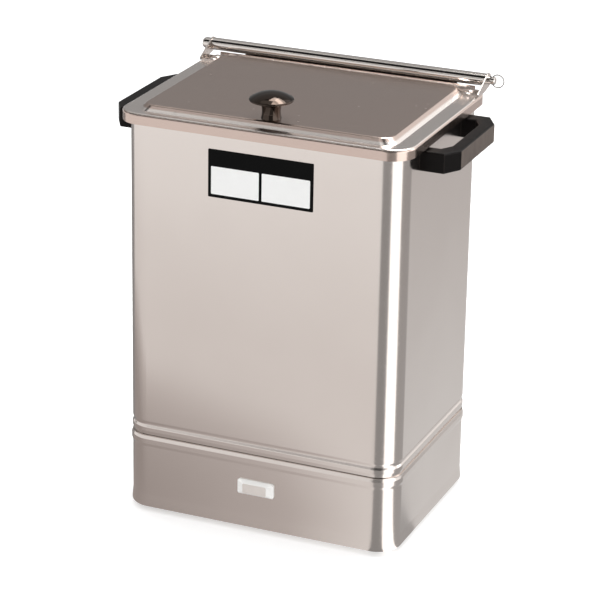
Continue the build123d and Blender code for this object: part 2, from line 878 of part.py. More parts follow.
# ---------------------------------------------------------------- heating
def heating_element():
    """Tubular element: four runs in one plane, both ends turned down through the floor."""
    outer_y = 1.5 * element_pitch
    inner_y = 0.5 * element_pitch
    bend = element_pitch / 2
    turn_x = element_half - bend
    start_x = element_exit_x + element_bend
    low = element_z - element_bend
    tail = floor_height - element_tail
    rise = element_bend * (1 - math.sqrt(0.5))
    edges = [
        Line((element_exit_x, -outer_y, tail), (element_exit_x, -outer_y, low)),
        ThreePointArc(
            (element_exit_x, -outer_y, low),
            (element_exit_x + rise, -outer_y, element_z - rise),
            (start_x, -outer_y, element_z),
        ),
        Line((start_x, -outer_y, element_z), (turn_x, -outer_y, element_z)),
        ThreePointArc(
            (turn_x, -outer_y, element_z),
            (element_half, -element_pitch, element_z),
            (turn_x, -inner_y, element_z),
        ),
        Line((turn_x, -inner_y, element_z), (-turn_x, -inner_y, element_z)),
        ThreePointArc(
            (-turn_x, -inner_y, element_z), (-element_half, 0, element_z), (-turn_x, inner_y, element_z)
        ),
        Line((-turn_x, inner_y, element_z), (turn_x, inner_y, element_z)),
        ThreePointArc(
            (turn_x, inner_y, element_z),
            (element_half, element_pitch, element_z),
            (turn_x, outer_y, element_z),
        ),
        Line((turn_x, outer_y, element_z), (start_x, outer_y, element_z)),
        ThreePointArc(
            (start_x, outer_y, element_z),
            (element_exit_x + rise, outer_y, element_z - rise),
            (element_exit_x, outer_y, low),
        ),
        Line((element_exit_x, outer_y, low), (element_exit_x, outer_y, tail)),
    ]
    path = Wire(edges)
    return sweep(Plane(origin=path @ 0, z_dir=path % 0) * Circle(element_r), path)


def element_glands():
    """Brazed glands on the element's ends: a hexagon above the floor and a threaded neck below."""
    low = floor_height + gasket_sheet
    body = hexagon(gland_across, low, low + gland_collar) + drum(gland_r, low - gland_neck, low)
    body -= drum(element_r + weld_gap, low - gland_neck, low + gland_collar)
    return together(place * body for place in element_exits())


def element_gaskets():
    """Gaskets between the glands and the tank floor."""
    ring = washer(gland_r + thread_gap, gland_across / 2, gasket_sheet)
    return together(place * Pos(0, 0, floor_height) * ring for place in element_exits())


def element_nuts():
    """Nuts on the glands, under the tank floor."""
    low = floor_under - gland_nut
    nut = hexagon(gland_across, low, floor_under) - drum(gland_r + thread_gap, low, floor_under)
    return together(place * nut for place in element_exits())


def thermostat_body():
    """Thermostat housing behind the skirt, with a threaded bush through the wall."""
    inner = -sheet
    case = Pos(0, 0, inner - stat_depth / 2) * Box(stat_width, stat_height, stat_depth)
    case = fillet(case.edges().filter_by(Axis.Z), stat_round)
    case += drum(stat_bush_r, inner, stat_bush)
    case -= drum(shaft_r + running_gap, inner - shaft_depth, stat_bush)
    socket = drum(capillary_r + weld_gap, 0, capillary_socket)
    case -= Pos(capillary_x - stat_x, 0, inner - stat_depth) * socket
    tag = Rot(90, 0, 0) * drum(stat_tag_r, 0, stat_tag_length)
    for x in (-stat_tag_pitch, 0, stat_tag_pitch):
        case += Pos(x, -stat_height / 2, inner - stat_tag_depth) * tag
    return back_place(stat_x, stat_z) * case


def thermostat_nut():
    """Thin nut that clamps the thermostat to the skirt, hidden under the dial."""
    nut = hexagon(stat_nut_across, 0, stat_nut) - drum(stat_bush_r + thread_gap, 0, stat_nut)
    return back_place(stat_x, stat_z) * nut


def shaft_section(radius, flat):
    """Round section with one flat side."""
    return Circle(radius) - Pos(0, flat + radius) * Rectangle(2 * radius, 2 * radius)


def thermostat_shaft():
    """Setting shaft, with a flat on its outer end that drives the dial."""
    base = stat_bush + dial_clear
    shaft = drum(shaft_r, -sheet - shaft_depth + shaft_end_gap, base)
    shaft += Pos(0, 0, base) * extrude(shaft_section(shaft_r, shaft_flat), shaft_reach - base)
    return back_place(stat_x, stat_z) * shaft


def thermostat_dial():
    """Fluted dial, hollow underneath to clear the nut, with a pointer rib on its face."""
    top = dial_gap + dial_depth
    skirt = dial_gap + dial_skirt
    side = Polyline(
        (0, dial_gap), (dial_r, dial_gap), (dial_r, skirt), (dial_r - dial_draw, top), (0, top), close=True
    )
    dial = revolve(Plane.XZ * make_face(side), Axis.Z, 360)
    dial = fillet(dial.edges().group_by(Axis.Z)[-1], dial_round)
    flute = Pos(dial_r - dial_flute_inset, 0) * drum(dial_flute_r, skirt, top)
    dial -= [Rot(0, 0, 360 / dial_flutes * i) * flute for i in range(dial_flutes)]
    hollow = stat_nut_across / 2 / math.cos(math.pi / 6) + dial_hollow_gap
    dial -= drum(hollow, dial_gap, stat_bush + dial_clear)
    bore = shaft_section(shaft_r + dial_bore_gap, shaft_flat + dial_bore_gap)
    dial -= extrude(bore, shaft_reach + dial_bore_end)
    dial += Pos(0, dial_rib_place, top) * Box(dial_rib_width, dial_rib_length, 2 * dial_rib)
    return back_place(stat_x, stat_z) * dial


def thermostat_capillary():
    """Sensing bulb between the element's runs, and the fine tube from it down to the thermostat."""
    end_y = half_depth - sheet - stat_depth
    bulb_end = bulb_start + bulb_length
    bulb = Pos(bulb_start, 0, bulb_z) * Rot(0, 90, 0) * drum(bulb_r, 0, bulb_length)
    bulb = fillet(bulb.edges(), bulb_round)
    route = [
        (bulb_end - capillary_lap, 0, bulb_z),
        (capillary_x, 0, bulb_z),
        (capillary_x, 0, stat_z),
        (capillary_x, end_y + capillary_socket - capillary_end_gap, stat_z),
    ]
    return bulb + wire_along(route, [capillary_drop_bend, capillary_turn_bend], capillary_r)


def capillary_gland():
    """Gland that seals the capillary where it passes through the floor."""
    shoulder = floor_under - capillary_gland_neck
    low = shoulder - capillary_gland_hex
    body = hexagon(capillary_gland_across, low, shoulder) + drum(capillary_gland_r, low, floor_height)
    body -= drum(capillary_r + weld_gap, low, floor_height)
    return Pos(capillary_x, 0) * body


# ---------------------------------------------------------------- mains side
def cord_gland():
    """Cord gland through the back of the skirt: hexagon, domed clamping nut and threaded neck."""
    body = hexagon(cord_gland_across, 0, cord_gland_hex) + drum(cord_gland_r, -cord_gland_neck, 0)
    top = cord_gland_hex + cord_gland_dome
    dome = drum(cord_gland_across / 2 - cord_gland_step, cord_gland_hex, top)
    body += fillet(dome.edges().group_by(Axis.Z)[-1], cord_gland_round)
    body -= drum(cord_bore_r, -cord_gland_neck, top)
    return back_place(cord_x, cord_z) * body


def gland_locknut():
    """Nut that clamps the cord gland from inside."""
    nut = hexagon(cord_gland_across, -sheet - cord_nut, -sheet)
    nut -= drum(cord_gland_r + thread_gap, -sheet - cord_nut, -sheet)
    return back_place(cord_x, cord_z) * nut


def terminal_block():
    """Terminal block on the base plate, with walls between its poles."""
    length, width, height = block_size
    block = Pos(0, 0, height / 2) * Box(length, width, height)
    pole = length / block_poles
    for i in range(block_poles):
        x = pole * (i - (block_poles - 1) / 2)
        for y in (-1, 1):
            place = Pos(x, y * notch_place, height)
            block -= place * Box(pole - block_wall, notch_width, notch_depth)
            block -= place * drum(block_screw_r + thread_gap, -notch_depth / 2 - block_hole, 0)
    return Pos(*block_place) * block


def terminal_screws():
    """Clamp screws of the terminal block."""
    length, width, height = block_size
    pole = length / block_poles
    seat = height - notch_depth / 2
    head = pan_screw(block_screw_r, block_screw_length, block_screw_head_r, block_screw_head)
    screw = Rot(180, 0, 0) * head
    places = [
        Pos(pole * (i - (block_poles - 1) / 2), y * notch_place, seat)
        for i in range(block_poles)
        for y in (-1, 1)
    ]
    return together(Pos(*block_place) * place * screw for place in places)


def earth_stud():
    """Earthing stud welded under the tank floor."""
    return Pos(*earth_place) * drum(earth_r, floor_under - earth_length, floor_under)


def earth_nut_piece():
    """Nut on the earthing stud."""
    low = floor_under - earth_nut_drop - earth_nut
    nut = hexagon(earth_across, low, low + earth_nut) - drum(earth_r + thread_gap, low, low + earth_nut)
    return Pos(*earth_place) * nut


# ---------------------------------------------------------------- rack
def rack_base():
    """Welded grid: a frame with wires front to back, and cross wires laid on top."""
    frame = carried_round(Pos(0, rack_base_z) * Circle(rack_wire_r), rack_half_x, rack_half_y, rack_corner)
    wires = [frame]
    for x in rack_columns_x():
        wires.append(rod_along((x, -rack_half_y, rack_base_z), (x, rack_half_y, rack_base_z), rack_wire_r))
    for y in rack_rows_y():
        wires.append(rod_along((-rack_half_x, y, rack_cross_z), (rack_half_x, y, rack_cross_z), rack_wire_r))
    return Part() + wires


def rack_feet():
    """Four bent wire feet that hold the rack over the element."""
    top = rack_base_z - rack_wire_r
    low = floor_height + rack_foot_gap + rack_foot_wire_r
    half = rack_foot_span / 2
    feet = []
    for x in (-rack_foot_x, rack_foot_x):
        for y in (-rack_half_y, rack_half_y):
            points = [(x - half, y, top), (x - half, y, low), (x + half, y, low), (x + half, y, top)]
            feet.append(wire_along(points, 2 * [rack_foot_bend], rack_foot_wire_r))
    return together(feet)


def rack_dividers():
    """Five wire dividers, each a hoop with upright wires inside, standing on the cross wires."""
    columns = rack_columns_x()
    ends = (columns[0], columns[-1])
    dividers = []
    for y in rack_rows_y():
        points = [(ends[0], y, rack_top), (ends[0], y, divider_top), (ends[1], y, divider_top)]
        points.append((ends[1], y, rack_top))
        hoop = wire_along(points, 2 * [divider_bend], rack_wire_r)
        uprights = [
            rod_along((x, y, rack_top), (x, y, divider_top), rack_wire_r) for x in columns[1:-1]
        ]
        dividers.append(hoop + uprights)
    return together(dividers)


def rack_handles():
    """Two tall wire hoops, welded outside the frame, for lifting the rack out."""
    low = rack_base_z - rack_wire_r
    half = rack_handle_half
    hoops = []
    for x in (-rack_handle_x, rack_handle_x):
        points = [(x, -half, low), (x, -half, rack_handle_top), (x, half, rack_handle_top), (x, half, low)]
        hoops.append(wire_along(points, 2 * [rack_handle_bend], rack_handle_wire_r))
    return together(hoops)


# ---------------------------------------------------------------- output
def main():
    os.makedirs("parts", exist_ok=True)
    pieces = {
        "tank": tank(),
        "tank_floor": tank_floor(),
        "base_skirt": base_skirt(),
        "base_plate": base_plate(),
        "plate_screws": plate_screws(),
        "rubber_feet": rubber_feet(),
        "foot_screws": foot_screws(),
        "foot_nuts": foot_nuts(),
        "lid": lid(),
        "lid_ear_left": lid_ear(-1),
        "lid_ear_right": lid_ear(1),
        "ear_rivets": ear_rivets(),
        "lid_knob": lid_knob(),
        "knob_screw": knob_screw(),
        "knob_washer": knob_washer(),
        "hinge_barrel": hinge_barrel(),
        "hinge_rivets": hinge_rivets(),
        "hinge_rod": hinge_rod(),
        "retaining_ring": retaining_ring(),
        "handle_left": carrying_handle(-1),
        "handle_right": carrying_handle(1),
        "handle_screws": handle_screws(),
        "handle_washers": handle_washers(),
        "pilot_lamp_lens": pilot_lamp_lens(),
        "pilot_lamp_body": pilot_lamp_body(),
        "heating_element": heating_element(),
        "element_glands": element_glands(),
        "element_gaskets": element_gaskets(),
        "element_nuts": element_nuts(),
        "thermostat_body": thermostat_body(),
        "thermostat_nut": thermostat_nut(),
        "thermostat_shaft": thermostat_shaft(),
        "thermostat_dial": thermostat_dial(),
        "thermostat_capillary": thermostat_capillary(),
        "capillary_gland": capillary_gland(),
        "cord_gland": cord_gland(),
        "gland_locknut": gland_locknut(),
        "terminal_block": terminal_block(),
        "terminal_screws": terminal_screws(),
        "earth_stud": earth_stud(),
        "earth_nut": earth_nut_piece(),
        "rack_base": rack_base(),
        "rack_feet": rack_feet(),
        "rack_dividers": rack_dividers(),
        "rack_handles": rack_handles(),
    }
    place = Pos(0, body_y, foot_standoff)
    for name, piece in pieces.items():
        export_step(place * piece, f"parts/{name}.step")


main()
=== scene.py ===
"""Finishes, small trim and studio of a table-top steel tank that keeps moist hot packs warm.

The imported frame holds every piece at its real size. This script gives each piece its finish, adds the
bare maker's plate, the cross-headed screws, the domed rivets and the dial's marks, and lights the tank
in a white studio.
"""

import math

import bmesh
import bpy
from mathutils import Matrix, Vector


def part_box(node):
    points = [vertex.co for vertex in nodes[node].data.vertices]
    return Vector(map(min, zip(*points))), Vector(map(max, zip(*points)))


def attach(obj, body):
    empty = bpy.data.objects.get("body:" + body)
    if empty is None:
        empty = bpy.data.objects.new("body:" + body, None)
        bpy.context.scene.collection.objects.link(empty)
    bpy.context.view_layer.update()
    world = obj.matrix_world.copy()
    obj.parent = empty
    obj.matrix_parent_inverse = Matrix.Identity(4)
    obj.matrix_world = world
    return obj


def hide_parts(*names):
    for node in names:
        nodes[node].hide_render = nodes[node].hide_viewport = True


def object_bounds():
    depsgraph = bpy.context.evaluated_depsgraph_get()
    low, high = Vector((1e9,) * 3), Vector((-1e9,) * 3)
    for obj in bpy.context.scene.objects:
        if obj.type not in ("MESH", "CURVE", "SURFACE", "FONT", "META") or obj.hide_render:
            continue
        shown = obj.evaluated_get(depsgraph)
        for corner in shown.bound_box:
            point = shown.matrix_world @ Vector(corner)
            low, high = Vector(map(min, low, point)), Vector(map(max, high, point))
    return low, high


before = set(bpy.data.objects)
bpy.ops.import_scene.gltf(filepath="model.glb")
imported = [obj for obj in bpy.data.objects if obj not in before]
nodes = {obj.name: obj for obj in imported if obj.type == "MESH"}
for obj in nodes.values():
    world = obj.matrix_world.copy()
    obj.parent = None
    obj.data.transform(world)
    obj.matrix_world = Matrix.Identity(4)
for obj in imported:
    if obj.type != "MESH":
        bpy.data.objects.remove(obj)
cad_low, cad_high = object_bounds()
mm = 0.001

# ---------------------------------------------------------------- camera, set out in degrees and metres
camera_place = Vector((0.96594, -2.32683, 1.18852))
camera_azimuth = 22.614
camera_elevation = 21.243
camera_roll = 1.013
camera_lens = 161.96
camera_sensor = 36.0


def make_camera():
    """A long lens from the front right, looking down on the lid."""
    azimuth = math.radians(camera_azimuth)
    elevation = math.radians(camera_elevation)
    roll = math.radians(camera_roll)
    ahead = Vector((-math.sin(azimuth) * math.cos(elevation),
                    math.cos(azimuth) * math.cos(elevation),
                    -math.sin(elevation)))
    level = Vector((math.cos(azimuth), math.sin(azimuth), 0))
    upright = level.cross(ahead)
    right = level * math.cos(roll) + upright * math.sin(roll)
    up = upright * math.cos(roll) - level * math.sin(roll)
    data = bpy.data.cameras.new("camera")
    data.lens = camera_lens
    data.sensor_width = camera_sensor
    camera = bpy.data.objects.new("camera", data)
    turned = Matrix((right, up, -ahead)).transposed().to_4x4()
    camera.matrix_world = Matrix.Translation(camera_place) @ turned
    bpy.context.scene.collection.objects.link(camera)
    bpy.context.scene.camera = camera


# ---------------------------------------------------------------- node helpers
def add_node(tree, kind, **settings):
    """One node of the given kind, with its own settings."""
    node = tree.nodes.new(kind)
    for key, value in settings.items():
        setattr(node, key, value)
    return node


def feed(tree, socket, value):
    """Links an output to a socket, or sets the socket to a plain value."""
    if isinstance(value, bpy.types.NodeSocket):
        tree.links.new(value, socket)
    else:
        socket.default_value = value


def worked_out(tree, kind, *values):
    """The result of one Math node of the given kind, its inputs fed in order."""
    node = add_node(tree, "ShaderNodeMath", operation=kind)
    for socket, value in zip(node.inputs, values):
        feed(tree, socket, value)
    return node.outputs[0]


def blend_colours(tree, amount, first, second):
    """The first colour where the amount is 0, the second where it is 1."""
    node = add_node(tree, "ShaderNodeMix", data_type="RGBA")
    feed(tree, node.inputs["Factor"], amount)
    feed(tree, node.inputs[6], first)
    feed(tree, node.inputs[7], second)
    return node.outputs[2]


def spread(tree, value, low, high):
    """Maps 0..1 to low..high."""
    node = add_node(tree, "ShaderNodeMapRange")
    feed(tree, node.inputs["Value"], value)
    node.inputs["To Min"].default_value = low
    node.inputs["To Max"].default_value = high
    return node.outputs["Result"]


def ramp_up(tree, value, empty, full, curve="LINEAR"):
    """0 where the value is at empty, 1 where it is at full, and held past both."""
    node = add_node(tree, "ShaderNodeMapRange", interpolation_type=curve)
    feed(tree, node.inputs["Value"], value)
    node.inputs["From Min"].default_value = empty
    node.inputs["From Max"].default_value = full
    return node.outputs["Result"]


def place_on_piece(tree):
    """The place on the piece, in metres from the object's own origin."""
    return add_node(tree, "ShaderNodeTexCoord").outputs["Object"]


def mottling(tree, place, scale, **character):
    """A soft random pattern, scale cells to the metre. Character is its detail, roughness or distortion."""
    node = add_node(tree, "ShaderNodeTexNoise")
    feed(tree, node.inputs["Vector"], place)
    feed(tree, node.inputs["Scale"], scale)
    for label, value in character.items():
        node.inputs[label.title()].default_value = value
    return node.outputs["Fac"]


def relief(tree, height, distance, strength=1.0):
    """A bump node that raises the surface by the height's pattern, as far as the distance."""
    node = add_node(tree, "ShaderNodeBump")
    feed(tree, node.inputs["Height"], height)
    feed(tree, node.inputs["Distance"], distance)
    feed(tree, node.inputs["Strength"], strength)
    return node


def facing_share(tree, first, second):
    """How far two directions agree: 1 along each other, 0 square to each other."""
    node = add_node(tree, "ShaderNodeVectorMath", operation="DOT_PRODUCT")
    tree.links.new(first, node.inputs[0])
    feed(tree, node.inputs[1], second)
    return node.outputs["Value"]


def new_group(name, inputs, outputs):
    """An empty shader group with the named sockets, and its two end nodes."""
    tree = bpy.data.node_groups.new(name, "ShaderNodeTree")
    for label, kind, value in inputs:
        socket = tree.interface.new_socket(label, in_out="INPUT", socket_type=kind)
        socket.default_value = value
    for label, kind in outputs:
        tree.interface.new_socket(label, in_out="OUTPUT", socket_type=kind)
    return tree, tree.nodes.new("NodeGroupInput"), tree.nodes.new("NodeGroupOutput")


def place_group(tree, group, **values):
    """A shared effect placed in one finish, with that finish's values."""
    node = add_node(tree, "ShaderNodeGroup", node_tree=group)
    for label, value in values.items():
        feed(tree, node.inputs[label.replace("_", " ").title()], value)
    return node


# ---------------------------------------------------------------- effects that several finishes share
scratch_height = 0.05 * mm
swells_per_metre = 5.5
speck_from = 0.66
speck_full = 0.74
wear_gain = 9.0


def make_grain_group():
    """Fine straight scratches left by a polishing belt, drawn out along the slow axis of Stretch,
    on sheet that is itself a little wavy: Waviness is how far it swells, in metres."""
    tree, start, end = new_group(
        "polishing_grain",
        [("Stretch", "NodeSocketVector", (4.0, 4.0, 900.0)), ("Depth", "NodeSocketFloat", 0.1),
         ("Waviness", "NodeSocketFloat", 0.0)],
        [("Grain", "NodeSocketFloat"), ("Normal", "NodeSocketVector")])
    place = place_on_piece(tree)
    stretched = add_node(tree, "ShaderNodeVectorMath", operation="MULTIPLY")
    tree.links.new(place, stretched.inputs[0])
    tree.links.new(start.outputs["Stretch"], stretched.inputs[1])
    lines = mottling(tree, stretched.outputs[0], 1.0, detail=3.0, roughness=0.65)
    swell = mottling(tree, place, swells_per_metre, detail=0.0)
    wavy = relief(tree, swell, start.outputs["Waviness"])
    scratched = relief(tree, lines, scratch_height, start.outputs["Depth"])
    tree.links.new(wavy.outputs["Normal"], scratched.inputs["Normal"])
    tree.links.new(lines, end.inputs["Grain"])
    tree.links.new(scratched.outputs["Normal"], end.inputs["Normal"])
    return tree


def make_handling_group():
    """Soft cloudy marks of wiping and handling: Smear is broad, Specks are small water spots."""
    tree, start, end = new_group(
        "handling_marks",
        [("Size", "NodeSocketFloat", 9.0), ("Spot Size", "NodeSocketFloat", 160.0)],
        [("Smear", "NodeSocketFloat"), ("Specks", "NodeSocketFloat")])
    place = place_on_piece(tree)
    smear = mottling(tree, place, start.outputs["Size"], detail=4.0, distortion=0.6)
    spots = mottling(tree, place, start.outputs["Spot Size"], detail=1.0)
    tree.links.new(smear, end.inputs["Smear"])
    tree.links.new(ramp_up(tree, spots, speck_from, speck_full), end.inputs["Specks"])
    return tree


def make_edge_group():
    """Where an edge is worn: 1 on the sharp outer edges within Reach, 0 on the flats."""
    tree, start, end = new_group(
        "edge_wear",
        [("Reach", "NodeSocketFloat", 0.8 * mm), ("Patchiness", "NodeSocketFloat", 40.0)],
        [("Worn", "NodeSocketFloat")])
    rounded = add_node(tree, "ShaderNodeBevel", samples=4)
    tree.links.new(start.outputs["Reach"], rounded.inputs["Radius"])
    plain = add_node(tree, "ShaderNodeNewGeometry")
    agreed = facing_share(tree, rounded.outputs["Normal"], plain.outputs["Normal"])
    turned = worked_out(tree, "SUBTRACT", 1.0, agreed)
    patches = mottling(tree, place_on_piece(tree), start.outputs["Patchiness"])
    worn = worked_out(tree, "MULTIPLY", turned, worked_out(tree, "MULTIPLY", patches, wear_gain))
    held = add_node(tree, "ShaderNodeClamp")
    tree.links.new(worn, held.inputs["Value"])
    tree.links.new(held.outputs[0], end.inputs["Worn"])
    return tree


polishing_grain = make_grain_group()
handling_marks = make_handling_group()
edge_wear = make_edge_group()

# ---------------------------------------------------------------- finishes
grain_roughness = 0.04
speck_roughness = 0.05
skin_height = 0.05 * mm
mottle_shade = 0.72
mottle_roughness = 0.07
turned_from = 0.9
facing_full = 0.98

lid_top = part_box("lid")[1].z
# lighter colour painted on the lid's level flange: a painted reflection, the flange being the same steel as
# the panel
flange_painted_reflection_colour = (0.86, 0.79, 0.745, 1)
flange_ends = ((lid_top - 4.2 * mm, lid_top - 2.5 * mm), (lid_top - 6.1 * mm, lid_top - 7.6 * mm))

phenolic_black = (0.005, 0.0035, 0.003, 1)
phenolic_black_tone = (0.003, 0.002, 0.002, 1)
phenolic_brown = (0.035, 0.026, 0.021, 1)
phenolic_brown_tone = (0.16, 0.125, 0.105, 1)
phenolic_worn = (0.045, 0.037, 0.032, 1)
phenolic_specular = 0.1

milky_white = (1.0, 0.99, 0.97, 1)
milky_white_tone = (0.97, 0.96, 0.94, 1)
# the lens's front face, painted greyer than its bevels: painted shade, not a different plastic
lens_face_painted_shade = (0.76, 0.70, 0.66, 1)
lens_face_painted_shade_tone = (0.66, 0.60, 0.56, 1)


def new_finish(name):
    """A material with only its shader and output, its tree, and the shader itself."""
    material = bpy.data.materials.new(name)
    material.use_nodes = True
    tree = material.node_tree
    return material, tree, tree.nodes["Principled BSDF"]


def steel_finish(name, colour, tone, roughness, stretch, depth, smear_size=9.0, smear_gain=0.05,
                 waviness=0.0):
    """Polished stainless sheet: belt grain along one way, and faint cloudy wiping marks.
    Colour is the clean metal, tone the slightly darker one in the cloudy marks."""
    material, tree, shader = new_finish(name)
    grain = place_group(tree, polishing_grain, stretch=stretch, depth=depth, waviness=waviness)
    marks = place_group(tree, handling_marks, size=smear_size)
    shader.inputs["Metallic"].default_value = 1.0
    feed(tree, shader.inputs["Base Color"], blend_colours(tree, marks.outputs["Smear"], colour, tone))
    rubbed = spread(tree, grain.outputs["Grain"], roughness - grain_roughness, roughness + grain_roughness)
    wiped = worked_out(tree, "MULTIPLY", marks.outputs["Smear"], smear_gain)
    spotted = worked_out(tree, "MULTIPLY", marks.outputs["Specks"], speck_roughness)
    marked = worked_out(tree, "ADD", rubbed, worked_out(tree, "ADD", wiped, spotted))
    feed(tree, shader.inputs["Roughness"], marked)
    tree.links.new(grain.outputs["Normal"], shader.inputs["Normal"])
    return material


def brighten_flange(material):
    """The lid's level flange is painted a lighter colour than its raised panel and its skirt, chosen by
    height: a painted reflection, since the flange faces up like the panel.
    """
    tree = material.node_tree
    base = tree.nodes["Principled BSDF"].inputs["Base Color"]
    panel_colour = base.links[0].from_socket
    axes = add_node(tree, "ShaderNodeSeparateXYZ")
    tree.links.new(place_on_piece(tree), axes.inputs[0])
    ends = [ramp_up(tree, axes.outputs["Z"], near, past, "SMOOTHSTEP") for near, past in flange_ends]
    off_flange = worked_out(tree, "MAXIMUM", *ends)
    feed(tree, base, blend_colours(tree, off_flange, flange_painted_reflection_colour, panel_colour))


def moulded_finish(name, colour, worn_colour, roughness, skin_strength=0.15):
    """Moulded plastic or rubber: slight mottling, a fine skin texture, and edges rubbed paler."""
    material, tree, shader = new_finish(name)
    shader.inputs["Specular IOR Level"].default_value = 0.3
    wear = place_group(tree, edge_wear, reach=0.7 * mm)
    marks = place_group(tree, handling_marks, size=60.0)
    skin = relief(tree, mottling(tree, place_on_piece(tree), 900.0), skin_height, skin_strength)
    deeper = tuple(part * mottle_shade for part in colour[:3]) + (1.0,)
    body = blend_colours(tree, marks.outputs["Smear"], colour, deeper)
    feed(tree, shader.inputs["Base Color"], blend_colours(tree, wear.outputs["Worn"], body, worn_colour))
    feed(tree, shader.inputs["Roughness"],
         spread(tree, marks.outputs["Smear"], roughness - mottle_roughness, roughness + mottle_roughness))
    tree.links.new(skin.outputs["Normal"], shader.inputs["Normal"])
    return material


def facing_mask(tree, outwards):
    """1 where the surface faces along a fixed direction of the object, 0 where it has turned away."""
    plain = add_node(tree, "ShaderNodeNewGeometry")
    return ramp_up(tree, facing_share(tree, plain.outputs["Normal"], outwards), turned_from, facing_full)


def phenolic_finish():
    """Compression-moulded phenolic of the handles: near black, the faces turned out to the sides brown in
    long streaks, chosen by which way each face turns."""
    material, tree, shader = new_finish("moulded_phenolic")
    shader.inputs["Specular IOR Level"].default_value = phenolic_specular
    wear = place_group(tree, edge_wear, reach=0.9 * mm)
    marks = place_group(tree, handling_marks, size=60.0)
    streaks = place_group(tree, polishing_grain, stretch=(260.0, 260.0, 14.0), depth=0.12)
    sides = add_node(tree, "ShaderNodeVectorMath", operation="SIGN")
    tree.links.new(place_on_piece(tree), sides.inputs[0])
    sideways = add_node(tree, "ShaderNodeVectorMath", operation="MULTIPLY")
    tree.links.new(sides.outputs[0], sideways.inputs[0])
    sideways.inputs[1].default_value = (1, 0, 0)
    # the faces turned out to the sides are coloured brown, picked by their direction alone
    outer = facing_mask(tree, sideways.outputs[0])
    black = blend_colours(tree, marks.outputs["Smear"], phenolic_black, phenolic_black_tone)
    brown = blend_colours(tree, streaks.outputs["Grain"], phenolic_brown, phenolic_brown_tone)
    rubbed = blend_colours(tree, outer, black, brown)
    feed(tree, shader.inputs["Base Color"], blend_colours(tree, wear.outputs["Worn"], rubbed, phenolic_worn))
    feed(tree, shader.inputs["Roughness"], spread(tree, marks.outputs["Smear"], 0.3, 0.44))
    tree.links.new(streaks.outputs["Normal"], shader.inputs["Normal"])
    return material


def lens_finish():
    """Milky moulded lens of the pilot lamp: clear white bevels round a front face painted greyer, a painted
    shade for the face that takes less light than the bevels.
    """
    material, tree, shader = new_finish("milky_lens")
    marks = place_group(tree, handling_marks, size=90.0)
    face = facing_mask(tree, (0, -1, 0))
    milky = blend_colours(tree, marks.outputs["Smear"], milky_white, milky_white_tone)
    painted_shade_face = blend_colours(tree, marks.outputs["Smear"], lens_face_painted_shade, lens_face_painted_shade_tone)
    feed(tree, shader.inputs["Base Color"], blend_colours(tree, face, milky, painted_shade_face))
    feed(tree, shader.inputs["Roughness"], spread(tree, marks.outputs["Smear"], 0.16, 0.3))
    shader.inputs["Coat Weight"].default_value = 0.4
    return material


# which way the belt ran, as scratches to the metre along x, y and z
around_wall = (5.0, 5.0, 1100.0)
along_lid = (5.0, 1100.0, 1100.0)
across_floor = (5.0, 900.0, 900.0)

satin_steel = {"colour": (0.73, 0.665, 0.625, 1), "tone": (0.68, 0.615, 0.575, 1)}
lid_metal = {"colour": (0.605, 0.485, 0.428, 1), "tone": (0.555, 0.438, 0.384, 1)}
bright_steel = {"colour": (0.76, 0.71, 0.67, 1), "tone": (0.70, 0.65, 0.61, 1)}
black_chrome = {"colour": (0.065, 0.049, 0.040, 1), "tone": (0.05, 0.038, 0.031, 1)}
drawn_wire = {"colour": (0.72, 0.69, 0.66, 1), "tone": (0.64, 0.61, 0.58, 1)}
spring_wire = {"colour": (0.36, 0.34, 0.32, 1), "tone": (0.27, 0.25, 0.235, 1)}
dull_steel = {"colour": (0.66, 0.62, 0.59, 1), "tone": (0.55, 0.52, 0.49, 1)}
zinc = {"colour": (0.62, 0.61, 0.58, 1), "tone": (0.5, 0.49, 0.45, 1)}
brass = {"colour": (0.78, 0.58, 0.28, 1), "tone": (0.66, 0.46, 0.2, 1)}
scorched = {"colour": (0.34, 0.31, 0.28, 1), "tone": (0.2, 0.18, 0.16, 1)}

wall_steel = steel_finish("satin_steel_wall", roughness=0.17, stretch=around_wall, depth=0.03,
                          waviness=3 * mm, **satin_steel)
skirt_steel = steel_finish("satin_steel_skirt", roughness=0.18, stretch=around_wall, depth=0.03,
                           smear_size=12.0, waviness=3 * mm, **satin_steel)
lid_steel = steel_finish("satin_steel_lid", roughness=0.19, stretch=along_lid, depth=0.02,
                         smear_size=11.0, waviness=4 * mm, **lid_metal)
# paints a lighter reflection onto the lid's level flange
brighten_flange(lid_steel)
tube_steel = steel_finish("bright_steel_tube", roughness=0.07, stretch=along_lid, depth=0.05,
                          smear_size=30.0, smear_gain=0.03, **bright_steel)
strap_steel = steel_finish("satin_steel_strap", roughness=0.2, stretch=across_floor, depth=0.1,
                           smear_size=40.0, **satin_steel)
knob_steel = steel_finish("black_chrome_knob", roughness=0.05, stretch=(60.0, 60.0, 700.0), depth=0.01,
                          smear_size=60.0, smear_gain=0.0, **black_chrome)
wire_steel = steel_finish("bright_steel_wire", roughness=0.2, stretch=(90.0, 90.0, 90.0), depth=0.08,
                          smear_size=50.0, **drawn_wire)
ring_steel = steel_finish("spring_steel_ring", roughness=0.24, stretch=across_floor, depth=0.1,
                          smear_size=60.0, **spring_wire)
floor_steel = steel_finish("satin_steel_floor", roughness=0.32, stretch=across_floor, depth=0.14,
                           smear_size=16.0, smear_gain=0.12, **dull_steel)
zinc_steel = steel_finish("zinc_plated_steel", roughness=0.3, stretch=(200.0, 200.0, 200.0), depth=0.12,
                          smear_size=120.0, smear_gain=0.1, **zinc)
brass_metal = steel_finish("turned_brass", roughness=0.24, stretch=(300.0, 60.0, 300.0), depth=0.1,
                           smear_size=80.0, smear_gain=0.08, **brass)
